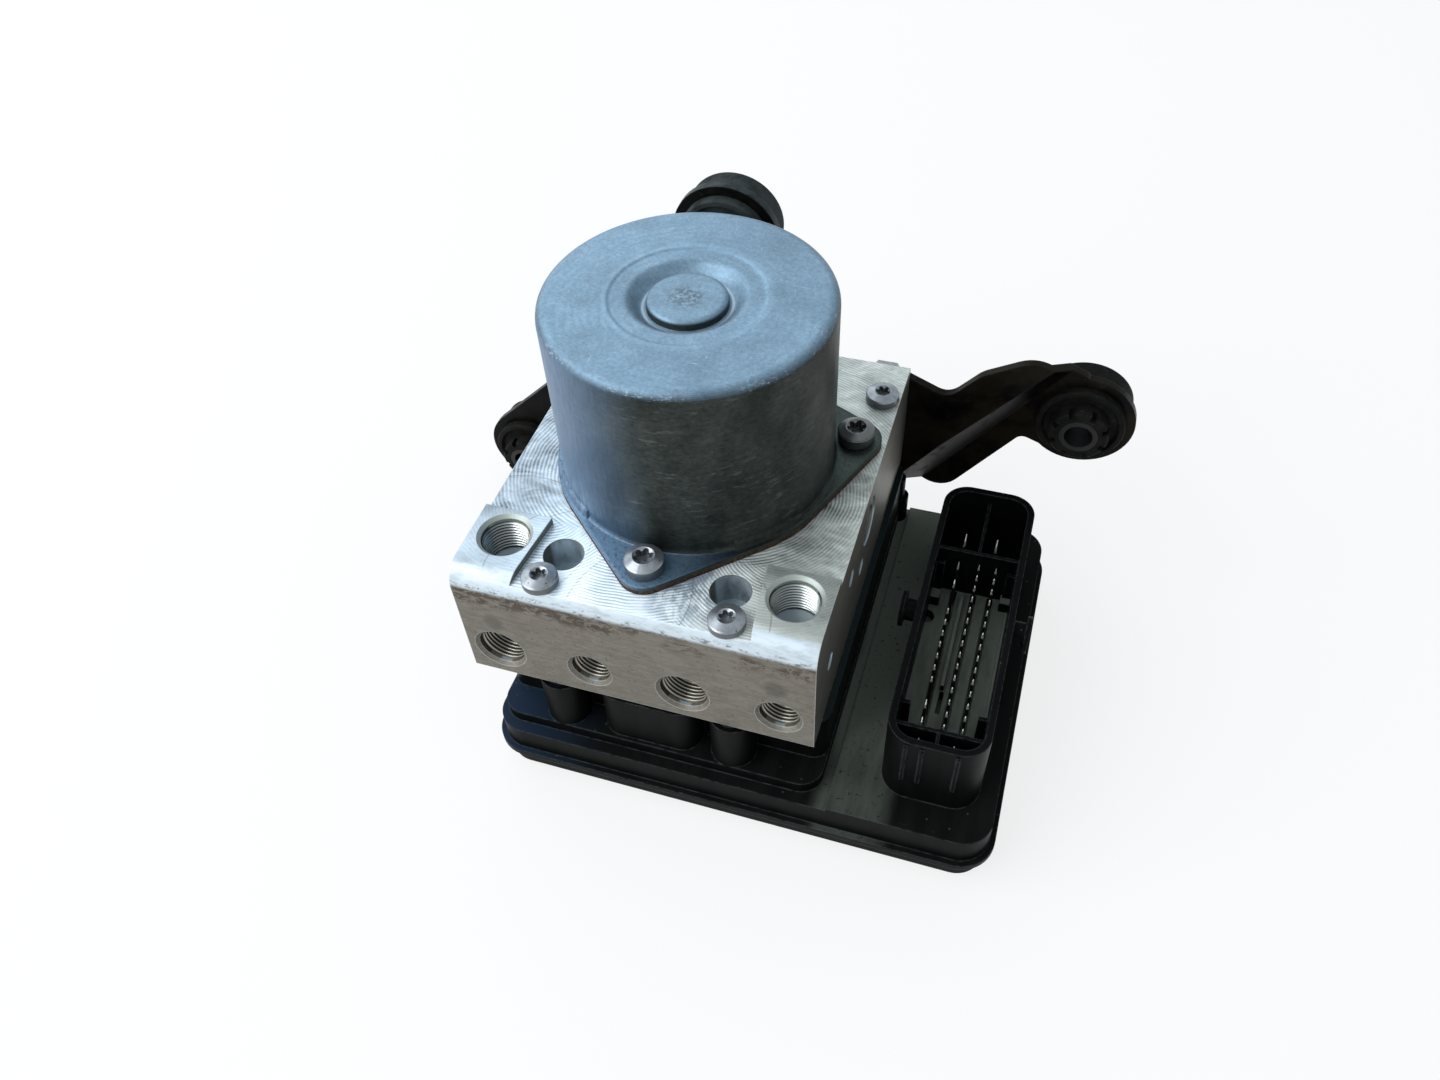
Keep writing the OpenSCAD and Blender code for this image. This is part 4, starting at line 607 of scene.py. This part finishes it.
SOLDER_MASK, TRACK_GREEN = (0.012, 0.075, 0.03), (0.025, 0.12, 0.05)


def circuit_laminate():
    """Green board with raised tracks both ways."""
    f = Finish("circuit_laminate")
    tracks = (f.noise((1.2, 14, 9), 1).above(0.53, 0.02) + f.noise((14, 1.2, 9), 1).above(0.55, 0.02)).capped()
    normal = f.bump(tracks, 0.03, f.soft_edge(0.2))
    return f.shade(f.blend(SOLDER_MASK, TRACK_GREEN, tracks), 0.32 + 0.1 * f.noise(3, 2), 0.0, normal)


steel = plain_steel("ground_steel", (0.52, 0.52, 0.50), 0.28)
finishes = {
    "valve_block": milled_block(),
    "motor_can": zinc_can(),
    "motor_screws": zinc_screw(),
    "pump_plugs": plain_steel("plug_steel", (0.30, 0.29, 0.27), 0.35),
    "ecu_housing": moulded_housing("moulded_housing", HOUSING_BLACK, 0.34),
    "ecu_cover": moulded_housing("moulded_cover", COVER_BLACK, 0.46),
    "block_gasket": plain_plastic("seal_silicone", (0.004, 0.012, 0.014), 0.5, 0.2),
    "circuit_board": circuit_laminate(),
    "signal_pins": tinned_contact(),
    "solenoid_coils": plain_plastic("coil_resin", (0.22, 0.07, 0.03), 0.35),
    "motor_magnets": plain_plastic("magnet_ferrite", (0.035, 0.035, 0.04), 0.5),
    "armature_windings": plain_steel("copper_wire", (0.60, 0.22, 0.09), 0.3),
    "brushes": plain_plastic("pressed_carbon", (0.02, 0.02, 0.022), 0.55),
    "bracket": gloss_black_sheet(),
    "left_bush": black_rubber(),
    "left_sleeve": plain_plastic("coated_sleeve", (0.010, 0.010, 0.010), 0.4, 0.3),
}
same = {
    "housing_screws": "motor_screws", "bracket_bolts": "motor_screws",
    "ball_plugs": "pump_plugs", "accumulator_caps": "pump_plugs",
    "power_blades": "signal_pins",
    "commutator": "armature_windings",
    "brush_plate": "ecu_cover", "motor_contact": "ecu_cover",
    "right_bush": "left_bush", "top_bush": "left_bush",
    "right_sleeve": "left_sleeve", "top_sleeve": "left_sleeve",
}
for name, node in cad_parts.items():
    finish = finishes.get(same.get(name, name), steel)
    for place in node.material_slots:
        place.material = finish


# Pieces that are finer than the solids

THREAD_PITCH, THREAD_START = 1.0, 1.0       # the first turn starts under the chamfer
THREAD_GAP = 0.03                           # between the thread's roots and the solid's wall
THREAD_FADE = 0.3                           # the thread runs out this far from its ends
THREAD_PROFILE = (0.0, 0.22, 0.5, 0.78, 1.0, 1.0, 0.78, 0.5, 0.22, 0.0)
THREAD_SIDES = 72


def piece(name, points, faces, material):
    """A smooth mesh from points in millimetres, which rides on the module."""
    mesh = bpy.data.meshes.new(name)
    mesh.from_pydata([Vector(p) * MM for p in points], [], faces)
    mesh.materials.append(material)
    for face in mesh.polygons:
        face.use_smooth = True
    made = bpy.data.objects.new(name, mesh)
    bpy.context.scene.collection.objects.link(made)
    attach(made, "module")


def port_thread(name, mouth, outward, radius, material):
    """Right hand internal thread, from under the chamfer to the end of the tapped depth."""
    rows, around = len(THREAD_PROFILE), THREAD_SIDES
    axis = Vector(outward)
    across = axis.orthogonal().normalized()
    along = axis.cross(across)
    length = PORT_DEPTH - THREAD_START - THREAD_GAP
    count = int((length / THREAD_PITCH - 1) * rows) + 1
    points, faces = [], []
    for row in range(count):
        for turn in range(around):
            sink = THREAD_PITCH * (row / rows + turn / around)
            run_in, run_out = sink - THREAD_FADE, length - THREAD_FADE - sink
            fade = max(0.0, min(1.0, run_in / THREAD_PITCH, run_out / THREAD_PITCH))
            r = radius - THREAD_GAP - THREAD_DEPTH * THREAD_PROFILE[row % rows] * fade
            angle = 2 * pi * turn / around
            spoke = (across * cos(angle) - along * sin(angle)) * r
            points.append(Vector(mouth) - axis * (THREAD_START + sink) + spoke)
    for row in range(count - 1):
        for turn in range(around):
            a, b = row * around + turn, row * around + turn + 1
            if turn == around - 1:
                b = (row + rows) * around
            if b + around < len(points):
                faces.append((a, a + around, b + around, b))
    piece(name, points, faces, material)


# The front ports get a darker, browner copy, painted shade; the upright ports a brighter one
SHADED_CREST, SHADED_ROOT = (0.36, 0.34, 0.29), (0.055, 0.045, 0.035)
BRIGHT_CREST, BRIGHT_ROOT = (0.86, 0.90, 0.88), (0.13, 0.15, 0.13)
large_thread = cut_thread("large_port_thread", LARGE, False, SHADED_CREST, SHADED_ROOT)
small_thread = cut_thread("small_port_thread", SMALL, False, SHADED_CREST, SHADED_ROOT)
top_thread = cut_thread("top_port_thread", LARGE, True, BRIGHT_CREST, BRIGHT_ROOT)
for count, x in enumerate(PORT_XS, 1):
    radius, thread = (LARGE, large_thread) if count % 2 else (SMALL, small_thread)
    port_thread(f"front_port_thread_{count}", (x, FRONT, PORT_Z), (0, -1, 0), radius, thread)
for side, x in (("left", PORT_XS[0]), ("right", PORT_XS[-1])):
    port_thread(f"top_port_thread_{side}", (x, TOP_PORT_Y, PAD), (0, 0, 1), LARGE, top_thread)


# Floor and light

FLOOR_COLOUR, WHITE = (0.82, 0.82, 0.82), (1.0, 1.0, 1.0)
FLOOR_HALF, FLOOR_Z = 40.0, -0.0002         # metres
PLAIN_WHITE_SHARE = 0.78                    # what eye, mirror and glass see of the floor as plain white
SKY_COLOUR, SKY_STRENGTH = (0.86, 0.93, 1.0), 0.62
MIDDLE = (0, 0, 0.05)                       # what the lamps point at


def set_floor():
    """A pale floor. Eye, mirror and glass see part of it as plain white, and the rest keeps the shadow."""
    f = Finish("pale_floor")
    path = f.node("LightPath", {}).socket.node.outputs
    kinds = ("Is Camera Ray", "Is Glossy Ray", "Is Transmission Ray")
    camera_ray, glossy_ray, transmission_ray = (Field(f, path[kind]) for kind in kinds)
    seen = (camera_ray + glossy_ray + transmission_ray).capped()
    lit, glow = f.node("BsdfDiffuse", {}, FLOOR_COLOUR), f.node("Emission", {}, WHITE, 1.0)
    f.close(f.node("MixShader", {}, seen * PLAIN_WHITE_SHARE, lit, glow))
    mesh = bpy.data.meshes.new("floor")
    corners = ((-1, -1), (1, -1), (1, 1), (-1, 1))
    mesh.from_pydata([(x * FLOOR_HALF, y * FLOOR_HALF, FLOOR_Z) for x, y in corners], [], [(0, 1, 2, 3)])
    mesh.materials.append(f.material)
    floor = bpy.data.objects.new("floor", mesh)
    bpy.context.scene.collection.objects.link(floor)


def set_sky():
    """Cool daylight from all round."""
    world = bpy.data.worlds.new("room")
    bpy.context.scene.world = world
    world.use_nodes = True
    sky = world.node_tree.nodes["Background"].inputs
    sky["Color"].default_value = (*SKY_COLOUR, 1)
    sky["Strength"].default_value = SKY_STRENGTH


def softbox(name, place, side, power, colour):
    """A square lamp, its side in metres and its power in watts, turned to the part."""
    lamp = bpy.data.objects.new(name, bpy.data.lights.new(name, "AREA"))
    lamp.data.shape = "RECTANGLE"
    lamp.data.size = lamp.data.size_y = side
    lamp.data.energy = power
    lamp.data.color = colour
    lamp.location = place
    lamp.rotation_euler = (Vector(MIDDLE) - Vector(place)).to_track_quat("-Z", "Y").to_euler()
    bpy.context.scene.collection.objects.link(lamp)


set_floor()
set_sky()
softbox("sky_window", (-0.66, 0.62, 0.86), 1.2, 5.0, (0.88, 0.95, 1.0))
softbox("left_fill", (-0.9, -0.7, 0.85), 1.4, 20.0, (0.94, 0.97, 1.0))
